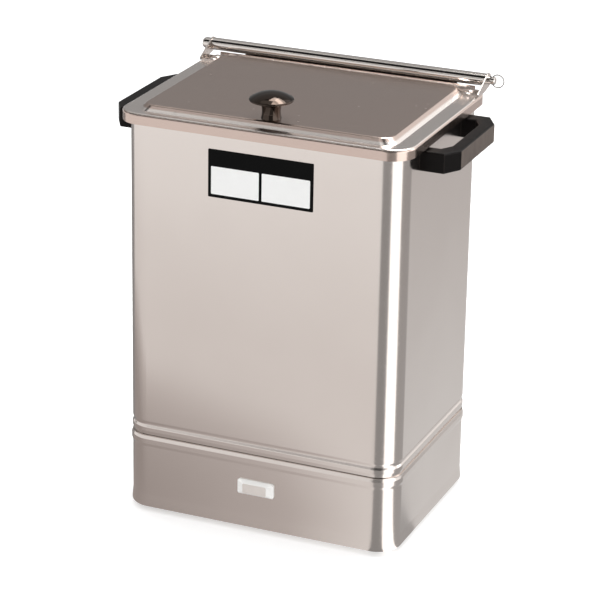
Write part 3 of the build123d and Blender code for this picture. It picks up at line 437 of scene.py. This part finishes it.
sheath_metal = steel_finish("element_sheath", roughness=0.42, stretch=(120.0, 120.0, 120.0), depth=0.2,
                            smear_size=45.0, smear_gain=0.15, **scorched)
phenolic = phenolic_finish()
black_plastic = moulded_finish("black_moulding", (0.018, 0.018, 0.019, 1), (0.06, 0.06, 0.06, 1), 0.4)
block_plastic = moulded_finish("ivory_moulding", (0.72, 0.69, 0.6, 1), (0.8, 0.78, 0.7, 1), 0.42)
rubber = moulded_finish("black_rubber", (0.022, 0.021, 0.020, 1), (0.05, 0.048, 0.045, 1), 0.68,
                        skin_strength=0.3)
milky_lens = lens_finish()

finish_of = {
    "tank": wall_steel, "base_skirt": skirt_steel, "lid": lid_steel, "hinge_barrel": tube_steel,
    "lid_ear_left": strap_steel, "lid_ear_right": strap_steel, "hinge_rod": tube_steel,
    "retaining_ring": ring_steel, "lid_knob": knob_steel, "tank_floor": floor_steel,
    "base_plate": floor_steel, "handle_left": phenolic, "handle_right": phenolic,
    "pilot_lamp_lens": milky_lens, "pilot_lamp_body": black_plastic, "rubber_feet": rubber,
    "element_gaskets": rubber, "thermostat_dial": black_plastic, "cord_gland": black_plastic,
    "gland_locknut": black_plastic, "terminal_block": block_plastic, "heating_element": sheath_metal,
    "element_glands": brass_metal, "element_nuts": brass_metal, "capillary_gland": brass_metal,
    "thermostat_capillary": wire_steel, "thermostat_nut": brass_metal, "earth_stud": brass_metal,
    "earth_nut": brass_metal, "rack_base": wire_steel, "rack_feet": wire_steel,
    "rack_dividers": wire_steel, "rack_handles": wire_steel,
}
for node_name, node_object in nodes.items():
    chosen = finish_of.get(node_name, zinc_steel)
    if node_object.material_slots:
        node_object.material_slots[0].material = chosen
    else:
        node_object.data.materials.append(chosen)

# ---------------------------------------------------------------- shapes for the added pieces
corner_steps = 6


def add_piece(name, mesh, body):
    """A plain mesh at the origin, riding on its body."""
    piece = bpy.data.objects.new(name, mesh)
    bpy.context.scene.collection.objects.link(piece)
    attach(piece, body)
    return piece


def add_printed_piece(name, form, finishes):
    """Turns a bmesh into a piece that stays with the base."""
    bmesh.ops.recalc_face_normals(form, faces=form.faces)
    mesh = bpy.data.meshes.new(name)
    form.to_mesh(mesh)
    form.free()
    for finish in finishes:
        mesh.materials.append(finish)
    return add_piece(name, mesh, "base")


def rounded_outline(width, height, radius):
    """Corner-rounded rectangle in a plane, centred, counter-clockwise."""
    points = []
    for quarter, (sx, sy) in enumerate(((1, 1), (-1, 1), (-1, -1), (1, -1))):
        for step in range(corner_steps + 1):
            angle = math.radians(90 * (quarter + step / corner_steps))
            points.append((sx * (width / 2 - radius) + radius * math.cos(angle),
                           sy * (height / 2 - radius) + radius * math.sin(angle)))
    return points


def add_tablet(form, place, width, height, radius, thick, edge, finish_index):
    """A thin rounded tablet facing front at place (x, y of its back, z), with a bevelled rim."""
    rings = []
    for inset, proud in ((0.0, 0.0), (0.0, thick - edge), (edge, thick)):
        outline = rounded_outline(width - 2 * inset, height - 2 * inset, max(radius - inset, edge / 2))
        rings.append([form.verts.new((place[0] + x, place[1] - proud, place[2] + z)) for x, z in outline])
    count = len(rings[0])
    made = []
    for lower, upper in zip(rings, rings[1:]):
        for i in range(count):
            j = (i + 1) % count
            made.append(form.faces.new((lower[i], lower[j], upper[j], upper[i])))
    made.append(form.faces.new(rings[-1]))
    made.append(form.faces.new(list(reversed(rings[0]))))
    for face in made:
        face.material_index = finish_index


# ---------------------------------------------------------------- pieces that repeat
head_segments = 24
head_rings = 12
shank_sides = 16
recess_span = 1.15
recess_width = 0.26
recess_depth = 1.1
tail_radius_share = 0.8
tail_height_share = 0.9
smooth_below = math.radians(35)
corner_merge = 0.01 * mm


def new_shape_group(name, inputs):
    """An empty geometry group that takes a cloud of places and the named sizes."""
    tree = bpy.data.node_groups.new(name, "GeometryNodeTree")
    tree.interface.new_socket("Places", in_out="INPUT", socket_type="NodeSocketGeometry")
    for label, kind, value in inputs:
        socket = tree.interface.new_socket(label, in_out="INPUT", socket_type=kind)
        if value is not None:
            socket.default_value = value
    tree.interface.new_socket("Pieces", in_out="OUTPUT", socket_type="NodeSocketGeometry")
    return tree, tree.nodes.new("NodeGroupInput"), tree.nodes.new("NodeGroupOutput")


def spot(tree, x, y, z):
    """A place or a size put together from its three parts."""
    node = add_node(tree, "ShaderNodeCombineXYZ")
    for socket, value in zip(node.inputs, (x, y, z)):
        feed(tree, socket, value)
    return node.outputs[0]


def moved(tree, shape, translation, rotation=(0, 0, 0)):
    """The shape, turned and then moved."""
    node = add_node(tree, "GeometryNodeTransform")
    tree.links.new(shape, node.inputs["Geometry"])
    feed(tree, node.inputs["Translation"], translation)
    feed(tree, node.inputs["Rotation"], rotation)
    return node.outputs[0]


def joined(tree, *shapes):
    """The shapes as one."""
    node = add_node(tree, "GeometryNodeJoinGeometry")
    for shape in shapes:
        tree.links.new(shape, node.inputs[0])
    return node.outputs[0]


def domed_head(tree, radius, height):
    """A closed button standing on zero: a ball whose lower half is pressed flat."""
    ball = add_node(tree, "GeometryNodeMeshUVSphere")
    ball.inputs["Segments"].default_value = head_segments
    ball.inputs["Rings"].default_value = head_rings
    feed(tree, ball.inputs["Radius"], radius)
    where = add_node(tree, "GeometryNodeInputPosition")
    parts = add_node(tree, "ShaderNodeSeparateXYZ")
    tree.links.new(where.outputs[0], parts.inputs[0])
    squash = worked_out(tree, "DIVIDE", height, radius)
    level = worked_out(tree, "MULTIPLY", worked_out(tree, "MAXIMUM", parts.outputs["Z"], 0.0), squash)
    pressed = add_node(tree, "GeometryNodeSetPosition")
    tree.links.new(ball.outputs["Mesh"], pressed.inputs["Geometry"])
    tree.links.new(spot(tree, parts.outputs["X"], parts.outputs["Y"], level), pressed.inputs["Position"])
    return pressed.outputs[0]


def round_bar(tree, radius, length):
    """A shank that hangs from zero down to its length."""
    bar = add_node(tree, "GeometryNodeMeshCylinder")
    bar.inputs["Vertices"].default_value = shank_sides
    feed(tree, bar.inputs["Radius"], radius)
    feed(tree, bar.inputs["Depth"], length)
    return moved(tree, bar.outputs["Mesh"], spot(tree, 0.0, 0.0, worked_out(tree, "MULTIPLY", length, -0.5)))


def copies_on(tree, places, shape, rotation):
    """The shape set on every place, turned its own way."""
    node = add_node(tree, "GeometryNodeInstanceOnPoints")
    tree.links.new(places, node.inputs["Points"])
    tree.links.new(shape, node.inputs["Instance"])
    tree.links.new(rotation, node.inputs["Rotation"])
    return node.outputs[0]


def end_with_finish(tree, start, end, copies):
    """Makes the copies real and gives them their finish."""
    real = add_node(tree, "GeometryNodeRealizeInstances")
    tree.links.new(copies, real.inputs[0])
    finished = add_node(tree, "GeometryNodeSetMaterial")
    tree.links.new(real.outputs[0], finished.inputs["Geometry"])
    tree.links.new(start.outputs["Finish"], finished.inputs["Material"])
    tree.links.new(finished.outputs[0], end.inputs["Pieces"])


def set_on_places(tree, start, end, shape, most_turn):
    """One shape at each place, its top facing the place's own way, each turned by up to most_turn."""
    facing = add_node(tree, "GeometryNodeInputNamedAttribute", data_type="FLOAT_VECTOR")
    facing.inputs["Name"].default_value = "facing"
    aligned = add_node(tree, "FunctionNodeAlignRotationToVector", axis="Z")
    tree.links.new(facing.outputs["Attribute"], aligned.inputs["Vector"])
    stopped_at = add_node(tree, "FunctionNodeRandomValue", data_type="FLOAT")
    stopped_at.inputs[2].default_value = 0.0
    stopped_at.inputs[3].default_value = most_turn
    tree.links.new(start.outputs["Seed"], stopped_at.inputs["Seed"])
    turn = add_node(tree, "FunctionNodeEulerToRotation")
    tree.links.new(spot(tree, 0.0, 0.0, stopped_at.outputs[1]), turn.inputs[0])
    turned = add_node(tree, "FunctionNodeRotateRotation", rotation_space="LOCAL")
    tree.links.new(aligned.outputs[0], turned.inputs[0])
    tree.links.new(turn.outputs[0], turned.inputs[1])
    end_with_finish(tree, start, end, copies_on(tree, start.outputs["Places"], shape, turned.outputs[0]))


fastener_sizes = [
    ("Shank Radius", "NodeSocketFloat", 2 * mm), ("Shank Length", "NodeSocketFloat", 8 * mm),
    ("Head Radius", "NodeSocketFloat", 4 * mm), ("Head Height", "NodeSocketFloat", 2 * mm),
    ("Seed", "NodeSocketInt", 7), ("Finish", "NodeSocketMaterial", None)]


def make_screw_group():
    """Domed screws with a cross recess, each stopped at its own angle."""
    tree, start, end = new_shape_group("cross_head_screws", fastener_sizes)
    head_radius = start.outputs["Head Radius"]
    head_height = start.outputs["Head Height"]
    head = domed_head(tree, head_radius, head_height)
    span = worked_out(tree, "MULTIPLY", head_radius, recess_span)
    slit = worked_out(tree, "MULTIPLY", head_radius, recess_width)
    depth = worked_out(tree, "MULTIPLY", head_height, recess_depth)
    for size in (spot(tree, span, slit, depth), spot(tree, slit, span, depth)):
        blade = add_node(tree, "GeometryNodeMeshCube")
        tree.links.new(size, blade.inputs["Size"])
        cut = add_node(tree, "GeometryNodeMeshBoolean", operation="DIFFERENCE", solver="EXACT")
        tree.links.new(head, cut.inputs[0])
        tree.links.new(moved(tree, blade.outputs["Mesh"], spot(tree, 0.0, 0.0, head_height)), cut.inputs[1])
        head = cut.outputs[0]
    shank = round_bar(tree, start.outputs["Shank Radius"], start.outputs["Shank Length"])
    set_on_places(tree, start, end, joined(tree, head, shank), math.pi / 2)
    return tree


def make_rivet_group():
    """Rivets with a domed made head and a flatter set head at the far end of the shank."""
    tree, start, end = new_shape_group("domed_rivets", fastener_sizes)
    head = domed_head(tree, start.outputs["Head Radius"], start.outputs["Head Height"])
    shank = round_bar(tree, start.outputs["Shank Radius"], start.outputs["Shank Length"])
    tail_radius = worked_out(tree, "MULTIPLY", start.outputs["Head Radius"], tail_radius_share)
    tail_height = worked_out(tree, "MULTIPLY", start.outputs["Head Height"], tail_height_share)
    tail = domed_head(tree, tail_radius, tail_height)
    far = spot(tree, 0.0, 0.0, worked_out(tree, "MULTIPLY", start.outputs["Shank Length"], -1.0))
    set_on_places(tree, start, end, joined(tree, head, shank, moved(tree, tail, far, (math.pi, 0, 0))), 0.0)
    return tree


def make_tick_group():
    """Short radial ticks along an arc that starts straight down and runs clockwise, seen from the back."""
    tree, start, end = new_shape_group("scale_ticks", [
        ("Ticks", "NodeSocketInt", 10), ("Arc", "NodeSocketFloat", math.pi),
        ("Radius", "NodeSocketFloat", 20 * mm), ("Length", "NodeSocketFloat", 2 * mm),
        ("Width", "NodeSocketFloat", 0.5 * mm), ("Thickness", "NodeSocketFloat", 0.1 * mm),
        ("Finish", "NodeSocketMaterial", None)])
    row = add_node(tree, "GeometryNodeMeshLine")
    tree.links.new(start.outputs["Ticks"], row.inputs["Count"])
    order = add_node(tree, "GeometryNodeInputIndex")
    gaps = worked_out(tree, "SUBTRACT", start.outputs["Ticks"], 1.0)
    share = worked_out(tree, "DIVIDE", order.outputs[0], gaps)
    angle = worked_out(tree, "MULTIPLY", share, start.outputs["Arc"])
    aside = worked_out(tree, "MULTIPLY", worked_out(tree, "SINE", angle), start.outputs["Radius"])
    down = worked_out(tree, "MULTIPLY", start.outputs["Radius"], -1.0)
    above = worked_out(tree, "MULTIPLY", worked_out(tree, "COSINE", angle), down)
    arc = add_node(tree, "GeometryNodeSetPosition")
    tree.links.new(row.outputs["Mesh"], arc.inputs["Geometry"])
    tree.links.new(spot(tree, aside, 0.0, above), arc.inputs["Position"])
    bar = add_node(tree, "GeometryNodeMeshCube")
    size = spot(tree, start.outputs["Width"], start.outputs["Thickness"], start.outputs["Length"])
    tree.links.new(size, bar.inputs["Size"])
    turn = add_node(tree, "FunctionNodeEulerToRotation")
    tree.links.new(spot(tree, 0.0, worked_out(tree, "MULTIPLY", angle, -1.0), 0.0), turn.inputs[0])
    end_with_finish(tree, start, end, copies_on(tree, arc.outputs[0], bar.outputs["Mesh"], turn.outputs[0]))
    return tree


def grown_mesh(name, tree, places, sizes):
    """Runs a geometry group over the places, each with the way it faces, and keeps a plain mesh."""
    cloud = bpy.data.meshes.new(name + "_places")
    cloud.from_pydata([tuple(place) for place, way in places], [], [])
    facing = cloud.attributes.new("facing", "FLOAT_VECTOR", "POINT")
    for item, (place, way) in zip(facing.data, places):
        item.vector = way
    holder = bpy.data.objects.new(name + "_places", cloud)
    bpy.context.scene.collection.objects.link(holder)
    modifier = holder.modifiers.new(name, "NODES")
    modifier.node_group = tree
    for item in tree.interface.items_tree:
        if item.item_type == "SOCKET" and item.in_out == "INPUT" and item.name in sizes:
            modifier[item.identifier] = sizes[item.name]
    ready = holder.evaluated_get(bpy.context.evaluated_depsgraph_get())
    mesh = bpy.data.meshes.new_from_object(ready)
    mesh.name = name
    holder.modifiers.remove(modifier)
    bpy.data.objects.remove(holder)
    mesh.shade_smooth()
    mesh.set_sharp_from_angle(angle=smooth_below)
    return mesh


def solid_boxes(node):
    """The box of each separate solid in one node, from a copy with its doubled corners merged."""
    form = bmesh.new()
    form.from_mesh(nodes[node].data)
    bmesh.ops.remove_doubles(form, verts=form.verts, dist=corner_merge)
    waiting = set(form.verts)
    boxes = []
    while waiting:
        reached = [waiting.pop()]
        found = []
        while reached:
            corner = reached.pop()
            found.append(nodes[node].matrix_world @ corner.co)
            for edge in corner.link_edges:
                other = edge.other_vert(corner)
                if other in waiting:
                    waiting.remove(other)
                    reached.append(other)
        low = Vector([min(point[i] for point in found) for i in range(3)])
        high = Vector([max(point[i] for point in found) for i in range(3)])
        boxes.append((low, high))
    form.free()
    return sorted(boxes, key=lambda pair: tuple(round(value, 5) for value in pair[0]))


def fit_fasteners(node, body, group, way, head_height, shank_radius, finish, slot, far_head=0.0):
    """Stands a finished fastener in each solid of a plain CAD node, its head facing the given way.
    With no way given, the head faces away from the nearer side wall."""
    places = []
    for low, high in solid_boxes(node):
        middle = (low + high) / 2
        facing = way or Vector((-math.copysign(1, middle.x), 0, 0))
        along = max(range(3), key=lambda i: abs(facing[i]))
        across = (along + 1) % 3
        reach = high[along] - low[along]
        width = high[across] - low[across]
        places.append((middle + facing * (reach / 2 - head_height), facing))
    sizes = {"Shank Radius": shank_radius, "Shank Length": reach - head_height - far_head,
             "Head Radius": width / 2, "Head Height": head_height, "Finish": finish}
    piece = add_piece(node + "_finished", grown_mesh(node + "_finished", group, places, sizes), body)
    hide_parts(node)


def make_fasteners():
    """Screws and rivets with real heads, in place of the plain ones."""
    screws = make_screw_group()
    rivets = make_rivet_group()
    down = Vector((0, 0, -1))
    up = Vector((0, 0, 1))
    back = Vector((0, 1, 0))
    plated = {"finish": zinc_steel, "slot": "zinc_steel"}
    riveted = {"head_height": 1.4 * mm, "shank_radius": 1.9 * mm, "far_head": 1.4 * mm,
               "finish": strap_steel, "slot": "satin_stainless"}
    fit_fasteners("plate_screws", "base", screws, down, 2.4 * mm, 2.0 * mm, **plated)
    fit_fasteners("foot_screws", "base", screws, down, 2.0 * mm, 2.0 * mm, **plated)
    fit_fasteners("handle_screws", "base", screws, None, 3.1 * mm, 2.5 * mm, **plated)
    fit_fasteners("knob_screw", "lid", screws, down, 3.1 * mm, 2.5 * mm, **plated)
    fit_fasteners("terminal_screws", "base", screws, up, 1.8 * mm, 1.2 * mm, brass_metal, "brass")
    fit_fasteners("ear_rivets", "lid", rivets, up, **riveted)
    fit_fasteners("hinge_rivets", "base", rivets, back, **riveted)


# ---------------------------------------------------------------- printed marks and the bare plate
numerals = 7
numeral_turn = math.radians(270)
numeral_height = 4.2 * mm
numeral_share_of_type = 0.7
numeral_radius = 21.5 * mm
ink_thick = 0.1 * mm
tick_count = 19
tick_radius = 17.2 * mm
tick_length = 1.9 * mm
tick_width = 0.5 * mm
dial_stand_off = 0.5 * mm

rim_reach = 3.3 * mm
plate_left = -53.5 * mm
plate_right = 55.0 * mm
plate_low = 346.0 * mm
plate_high = 394.0 * mm
plate_thick = 0.5 * mm
plate_edge = 0.15 * mm
plate_corner = 1.0 * mm
plate_header = 17.0 * mm
plate_border = 3.2 * mm
panel_gap = 3.0 * mm
panel_thick = 0.06 * mm
panel_edge = 0.03 * mm
panel_corner = 0.8 * mm


def enamel_finish(name, colour, tone, roughness):
    """Screen-printed enamel: even colour with a faint orange-peel skin."""
    material, tree, shader = new_finish(name)
    shader.inputs["Specular IOR Level"].default_value = 0.04
    marks = place_group(tree, handling_marks, size=70.0)
    skin = relief(tree, mottling(tree, place_on_piece(tree), 1400.0), 0.02 * mm, 0.08)
    feed(tree, shader.inputs["Base Color"], blend_colours(tree, marks.outputs["Smear"], colour, tone))
    feed(tree, shader.inputs["Roughness"],
         spread(tree, marks.outputs["Smear"], roughness - 0.05, roughness + 0.06))
    tree.links.new(skin.outputs["Normal"], shader.inputs["Normal"])
    return material


def make_dial_scale():
    """Plain numbers and ticks on the skirt's back, from straight down and clockwise seen from behind."""
    ink = enamel_finish("scale_ink", (0.02, 0.02, 0.02, 1), (0.03, 0.03, 0.03, 1), 0.4)
    low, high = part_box("thermostat_dial")
    centre = Vector(((low.x + high.x) / 2, low.y - dial_stand_off, (low.z + high.z) / 2))
    half_thick = Vector((0, ink_thick / 2, 0))
    upright = Matrix(((-1, 0, 0), (0, 0, 1), (0, 1, 0))).to_4x4()
    form = bmesh.new()
    for number in range(numerals):
        curve = bpy.data.curves.new("numeral", "FONT")
        curve.body = str(number)
        curve.size = numeral_height / numeral_share_of_type
        curve.extrude = ink_thick / 2
        curve.align_x = "CENTER"
        curve.align_y = "CENTER"
        writing = bpy.data.objects.new("numeral", curve)
        bpy.context.scene.collection.objects.link(writing)
        ready = writing.evaluated_get(bpy.context.evaluated_depsgraph_get())
        mesh = bpy.data.meshes.new_from_object(ready)
        bpy.data.objects.remove(writing)
        angle = numeral_turn * number / (numerals - 1)
        place = centre + Vector((math.sin(angle), 0, -math.cos(angle))) * numeral_radius
        mesh.transform(Matrix.Translation(place + half_thick) @ upright)
        form.from_mesh(mesh)
        bpy.data.meshes.remove(mesh)
    sizes = {"Ticks": tick_count, "Arc": numeral_turn, "Radius": tick_radius, "Length": tick_length,
             "Width": tick_width, "Thickness": ink_thick, "Finish": ink}
    ticks = grown_mesh("scale_ticks", make_tick_group(), [((0, 0, 0), (0, 0, 1))], sizes)
    ticks.transform(Matrix.Translation(centre + half_thick))
    form.from_mesh(ticks)
    for face in form.faces:
        face.material_index = 0
    add_printed_piece("dial_scale", form, [ink])


def make_plate():
    """Black enamelled plate with a plain header band and two blank white panels under it. The wall's
    outer face lies behind the tank's turned rim by the rim's reach."""
    black = enamel_finish("black_enamel", (0.003, 0.003, 0.003, 1), (0.005, 0.005, 0.005, 1), 0.32)
    white = enamel_finish("white_enamel", (0.93, 0.93, 0.92, 1), (0.89, 0.89, 0.88, 1), 0.36)
    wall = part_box("tank")[0].y + rim_reach
    middle_x = (plate_left + plate_right) / 2
    middle_z = (plate_low + plate_high) / 2
    width = plate_right - plate_left
    height = plate_high - plate_low
    form = bmesh.new()
    add_tablet(form, (middle_x, wall, middle_z), width, height, plate_corner, plate_thick, plate_edge, 0)
    panel_width = (width - 2 * plate_border - panel_gap) / 2
    panel_height = height - plate_header - plate_border
    for side in (-1, 1):
        place = (middle_x + side * (panel_width + panel_gap) / 2, wall - plate_thick,
                 plate_low + plate_border + panel_height / 2)
        add_tablet(form, place, panel_width, panel_height, panel_corner, panel_thick, panel_edge, 1)
    add_printed_piece("makers_plate", form, [black, white])


# ---------------------------------------------------------------- studio, in metres and degrees
daylight = 0.94
floor_colour = (0.8, 0.8, 0.8, 1)
floor_glow = 0.45
floor_radius = 9.0
darkest_tint = (1.0, 0.86, 0.81)
studio_middle = Vector((0.12, -0.09, 0))
card_height = 2 * mm
card_reach = 2.0
dome_radius = 2.4
dome_levels = 4
overhead_height = 1.95

# name, left, right, front, back, shade
overhead_cards = [
    ("overhead_panel", -0.05, 1.15, 0.2, 1.0, 6.0),
    ("left_overhead_panel", -1.2, -0.3, 0.42, 1.3, 0.5),
    ("middle_overhead_panel", -0.85, -0.05, -0.1, 0.3, 0.8),
]
# name, first and last compass angle from the front towards the right, lowest and highest elevation, shade
dome_cards = [
    ("back_left_card", 172, 275, 5, 38, 0.31),
    ("back_left_high_card", 172, 275, 38, 66, 0.45),
    ("front_low_card", -80, -8, 0, 30, 0.95),
    ("front_high_flag", -85, 62, 30, 89, 0.02),
    ("back_high_flag", -190, -85, 66, 89, 0.02),
    ("corner_low_flag", -8, 40, 0, 30, 0.25),
    ("right_card", 40, 98, 0, 30, 2.2),
    ("right_high_card", 62, 108, 30, 62, 1.3),
    ("right_back_card", 98, 172, 0, 60, 1.1),
]
# name, first and last compass angle, where distances start, then (distance, shade) stops
floor_cards = [
    ("front_floor", -97, -2, (-0.35, 0, 0), [(0.22, 0.40), (0.40, 0.60), (0.48, 0.90), (0.58, 0.84),
                                             (0.8, 0.92), (1.1, 1.02), (1.3, 1.04)]),
    ("corner_flag", -2, 41, (0, 0, 0), [(0.0, 0.34), (1.3, 0.34)]),
    ("corner_reflector", 41, 89, (0, 0, 0), [(0.0, 1.9), (1.3, 1.9)]),
    ("corner_shade", 89, 150, (0, 0, 0), [(0.0, 0.46), (1.3, 0.38)]),
    ("right_floor", 150, 187, (0, 0, 0), [(0.2, 0.76), (1.1, 0.60), (1.3, 0.60)]),
    ("left_flag", -172, -97, (0, 0, 0), [(0.0, 0.3), (1.3, 0.3)]),
]
# a small card close over the lid's front slope, which the tube behind it sees lower down
slope_card_corners = ((-0.40, -0.270, 0.628), (0.14, -0.270, 0.628), (0.17, -0.225, 0.672),
                      (-0.37, -0.225, 0.672))


def seen_mask(tree):
    """1 for what the camera, polished metal and glass see, 0 for what only lights the object."""
    path = add_node(tree, "ShaderNodeLightPath")
    seen = worked_out(tree, "MAXIMUM", path.outputs["Is Camera Ray"], path.outputs["Is Glossy Ray"])
    return worked_out(tree, "MAXIMUM", seen, path.outputs["Is Transmission Ray"])


def make_world():
    """A white room, lit a little softer than it looks."""
    world = bpy.data.worlds.new("studio")
    world.use_nodes = True
    tree = world.node_tree
    background = tree.nodes["Background"]
    background.inputs["Color"].default_value = (1, 1, 1, 1)
    feed(tree, background.inputs["Strength"], spread(tree, seen_mask(tree), daylight, 1.0))
    bpy.context.scene.world = world


def make_floor():
    """Pale floor: it takes the object's shadow, shows white to the camera and in reflections,
    and is clear from underneath."""
    material = bpy.data.materials.new("studio_floor")
    material.use_nodes = True
    tree = material.node_tree
    tree.nodes.remove(tree.nodes["Principled BSDF"])
    matte = add_node(tree, "ShaderNodeBsdfDiffuse")
    matte.inputs["Color"].default_value = floor_colour
    glow = add_node(tree, "ShaderNodeEmission")
    feed(tree, glow.inputs["Strength"], worked_out(tree, "MULTIPLY", seen_mask(tree), floor_glow))
    both = add_node(tree, "ShaderNodeAddShader")
    tree.links.new(matte.outputs[0], both.inputs[0])
    tree.links.new(glow.outputs[0], both.inputs[1])
    side = add_node(tree, "ShaderNodeNewGeometry")
    clear = add_node(tree, "ShaderNodeBsdfTransparent")
    sided = add_node(tree, "ShaderNodeMixShader")
    tree.links.new(side.outputs["Backfacing"], sided.inputs[0])
    tree.links.new(both.outputs[0], sided.inputs[1])
    tree.links.new(clear.outputs[0], sided.inputs[2])
    tree.links.new(sided.outputs[0], tree.nodes["Material Output"].inputs["Surface"])
    form = bmesh.new()
    bmesh.ops.create_circle(form, cap_ends=True, segments=96, radius=floor_radius)
    mesh = bpy.data.meshes.new("floor")
    form.to_mesh(mesh)
    form.free()
    mesh.materials.append(material)
    floor = bpy.data.objects.new("floor", mesh)
    floor.location.z = cad_low.z
    bpy.context.scene.collection.objects.link(floor)


def softbox(name, place, aim, width, height, power):
    """A plain rectangular lamp. The camera looks past it, metal and gloss show it."""
    data = bpy.data.lights.new(name, "AREA")
    data.shape = "RECTANGLE"
    data.size = width
    data.size_y = height
    data.energy = power
    lamp = bpy.data.objects.new(name, data)
    lamp.location = place
    lamp.rotation_euler = (Vector(aim) - Vector(place)).to_track_quat("-Z", "Y").to_euler()
    lamp.visible_camera = False
    bpy.context.scene.collection.objects.link(lamp)


def warm(shade):
    """A card's colour: the darker the card, the warmer it is."""
    paleness = min(shade, 1.0)
    return tuple(shade * (tint + (1 - tint) * paleness) for tint in darkest_tint) + (1,)


def card(name, quads, stops, start=(0, 0, 0)):
    """A studio card that only metal and gloss can see: dark ones flag, bright ones reflect.
    Each stop is a distance from the start and the card's shade there."""
    material = bpy.data.materials.new(name)
    material.use_nodes = True
    tree = material.node_tree
    tree.nodes.remove(tree.nodes["Principled BSDF"])
    away = add_node(tree, "ShaderNodeVectorMath", operation="DISTANCE")
    tree.links.new(place_on_piece(tree), away.inputs[0])
    away.inputs[1].default_value = start
    reach = stops[-1][0] * 1.01
    brightest = max(shade for distance, shade in stops)
    ramp = add_node(tree, "ShaderNodeValToRGB")
    feed(tree, ramp.inputs["Fac"], worked_out(tree, "DIVIDE", away.outputs["Value"], reach))
    band = ramp.color_ramp
    while len(band.elements) < len(stops):
        band.elements.new(0.5)
    for element, (distance, shade) in zip(band.elements, stops):
        element.position = distance / reach
        element.color = warm(shade / brightest)
    glow = add_node(tree, "ShaderNodeEmission")
    glow.inputs["Strength"].default_value = brightest
    tree.links.new(ramp.outputs["Color"], glow.inputs["Color"])
    tree.links.new(glow.outputs[0], tree.nodes["Material Output"].inputs["Surface"])
    mesh = bpy.data.meshes.new(name)
    corners = [tuple(corner) for quad in quads for corner in quad]
    mesh.from_pydata(corners, [], [tuple(range(i, i + 4)) for i in range(0, len(corners), 4)])
    mesh.materials.append(material)
    made = bpy.data.objects.new(name, mesh)
    made.visible_camera = False
    made.visible_diffuse = False
    made.visible_shadow = False
    made.visible_transmission = False
    made.visible_volume_scatter = False
    bpy.context.scene.collection.objects.link(made)


def plain_stops(shade):
    """The same shade all over a card."""
    return [(0.0, shade), (3.0, shade)]


def towards(azimuth, distance, height):
    """A point at a compass angle from the front towards the right, about the front right corner."""
    turn = math.radians(azimuth)
    return studio_middle + Vector((distance * math.sin(turn), -distance * math.cos(turn), height))


def swept_quads(first, last, inner, outer, steps):
    """Quads between an inner and an outer (distance, height), over a range of compass angles."""
    angles = [first + (last - first) * i / steps for i in range(steps + 1)]
    return [(towards(a, *inner), towards(b, *inner), towards(b, *outer), towards(a, *outer))
            for a, b in zip(angles, angles[1:])]


def dome_quads(first, last, low, high):
    """Quads bent round the object over a range of compass angles and elevations."""
    quads = []
    for i in range(dome_levels):
        below = math.radians(low + (high - low) * i / dome_levels)
        above = math.radians(low + (high - low) * (i + 1) / dome_levels)
        quads += swept_quads(first, last, (dome_radius * math.cos(below), dome_radius * math.sin(below)),
                             (dome_radius * math.cos(above), dome_radius * math.sin(above)), 16)
    return quads


def make_studio():
    """White room and floor, two lamps, and the cards that give the steel its bands."""
    make_world()
    make_floor()
    softbox("overhead_softbox", (0.1, 0.3, 1.97), (0, 0, 0.3), 0.9, 0.9, 22.0)
    softbox("right_softbox", (1.6, 0.95, 0.9), (0, 0, 0.25), 0.9, 1.2, 5.0)
    for name, left, right, front, back, shade in overhead_cards:
        corners = ((left, front), (right, front), (right, back), (left, back))
        card(name, [[(x, y, overhead_height) for x, y in corners]], plain_stops(shade))
    for name, first, last, low, high, shade in dome_cards:
        card(name, dome_quads(first, last, low, high), plain_stops(shade))
    for name, first, last, start, stops in floor_cards:
        card(name, swept_quads(first, last, (0.0, card_height), (card_reach, card_height), 12), stops, start)
    card("slope_card", [slope_card_corners], plain_stops(1.0))


make_fasteners()
make_dial_scale()
make_plate()
make_studio()
make_camera()
bpy.context.scene.view_settings.view_transform = "Standard"
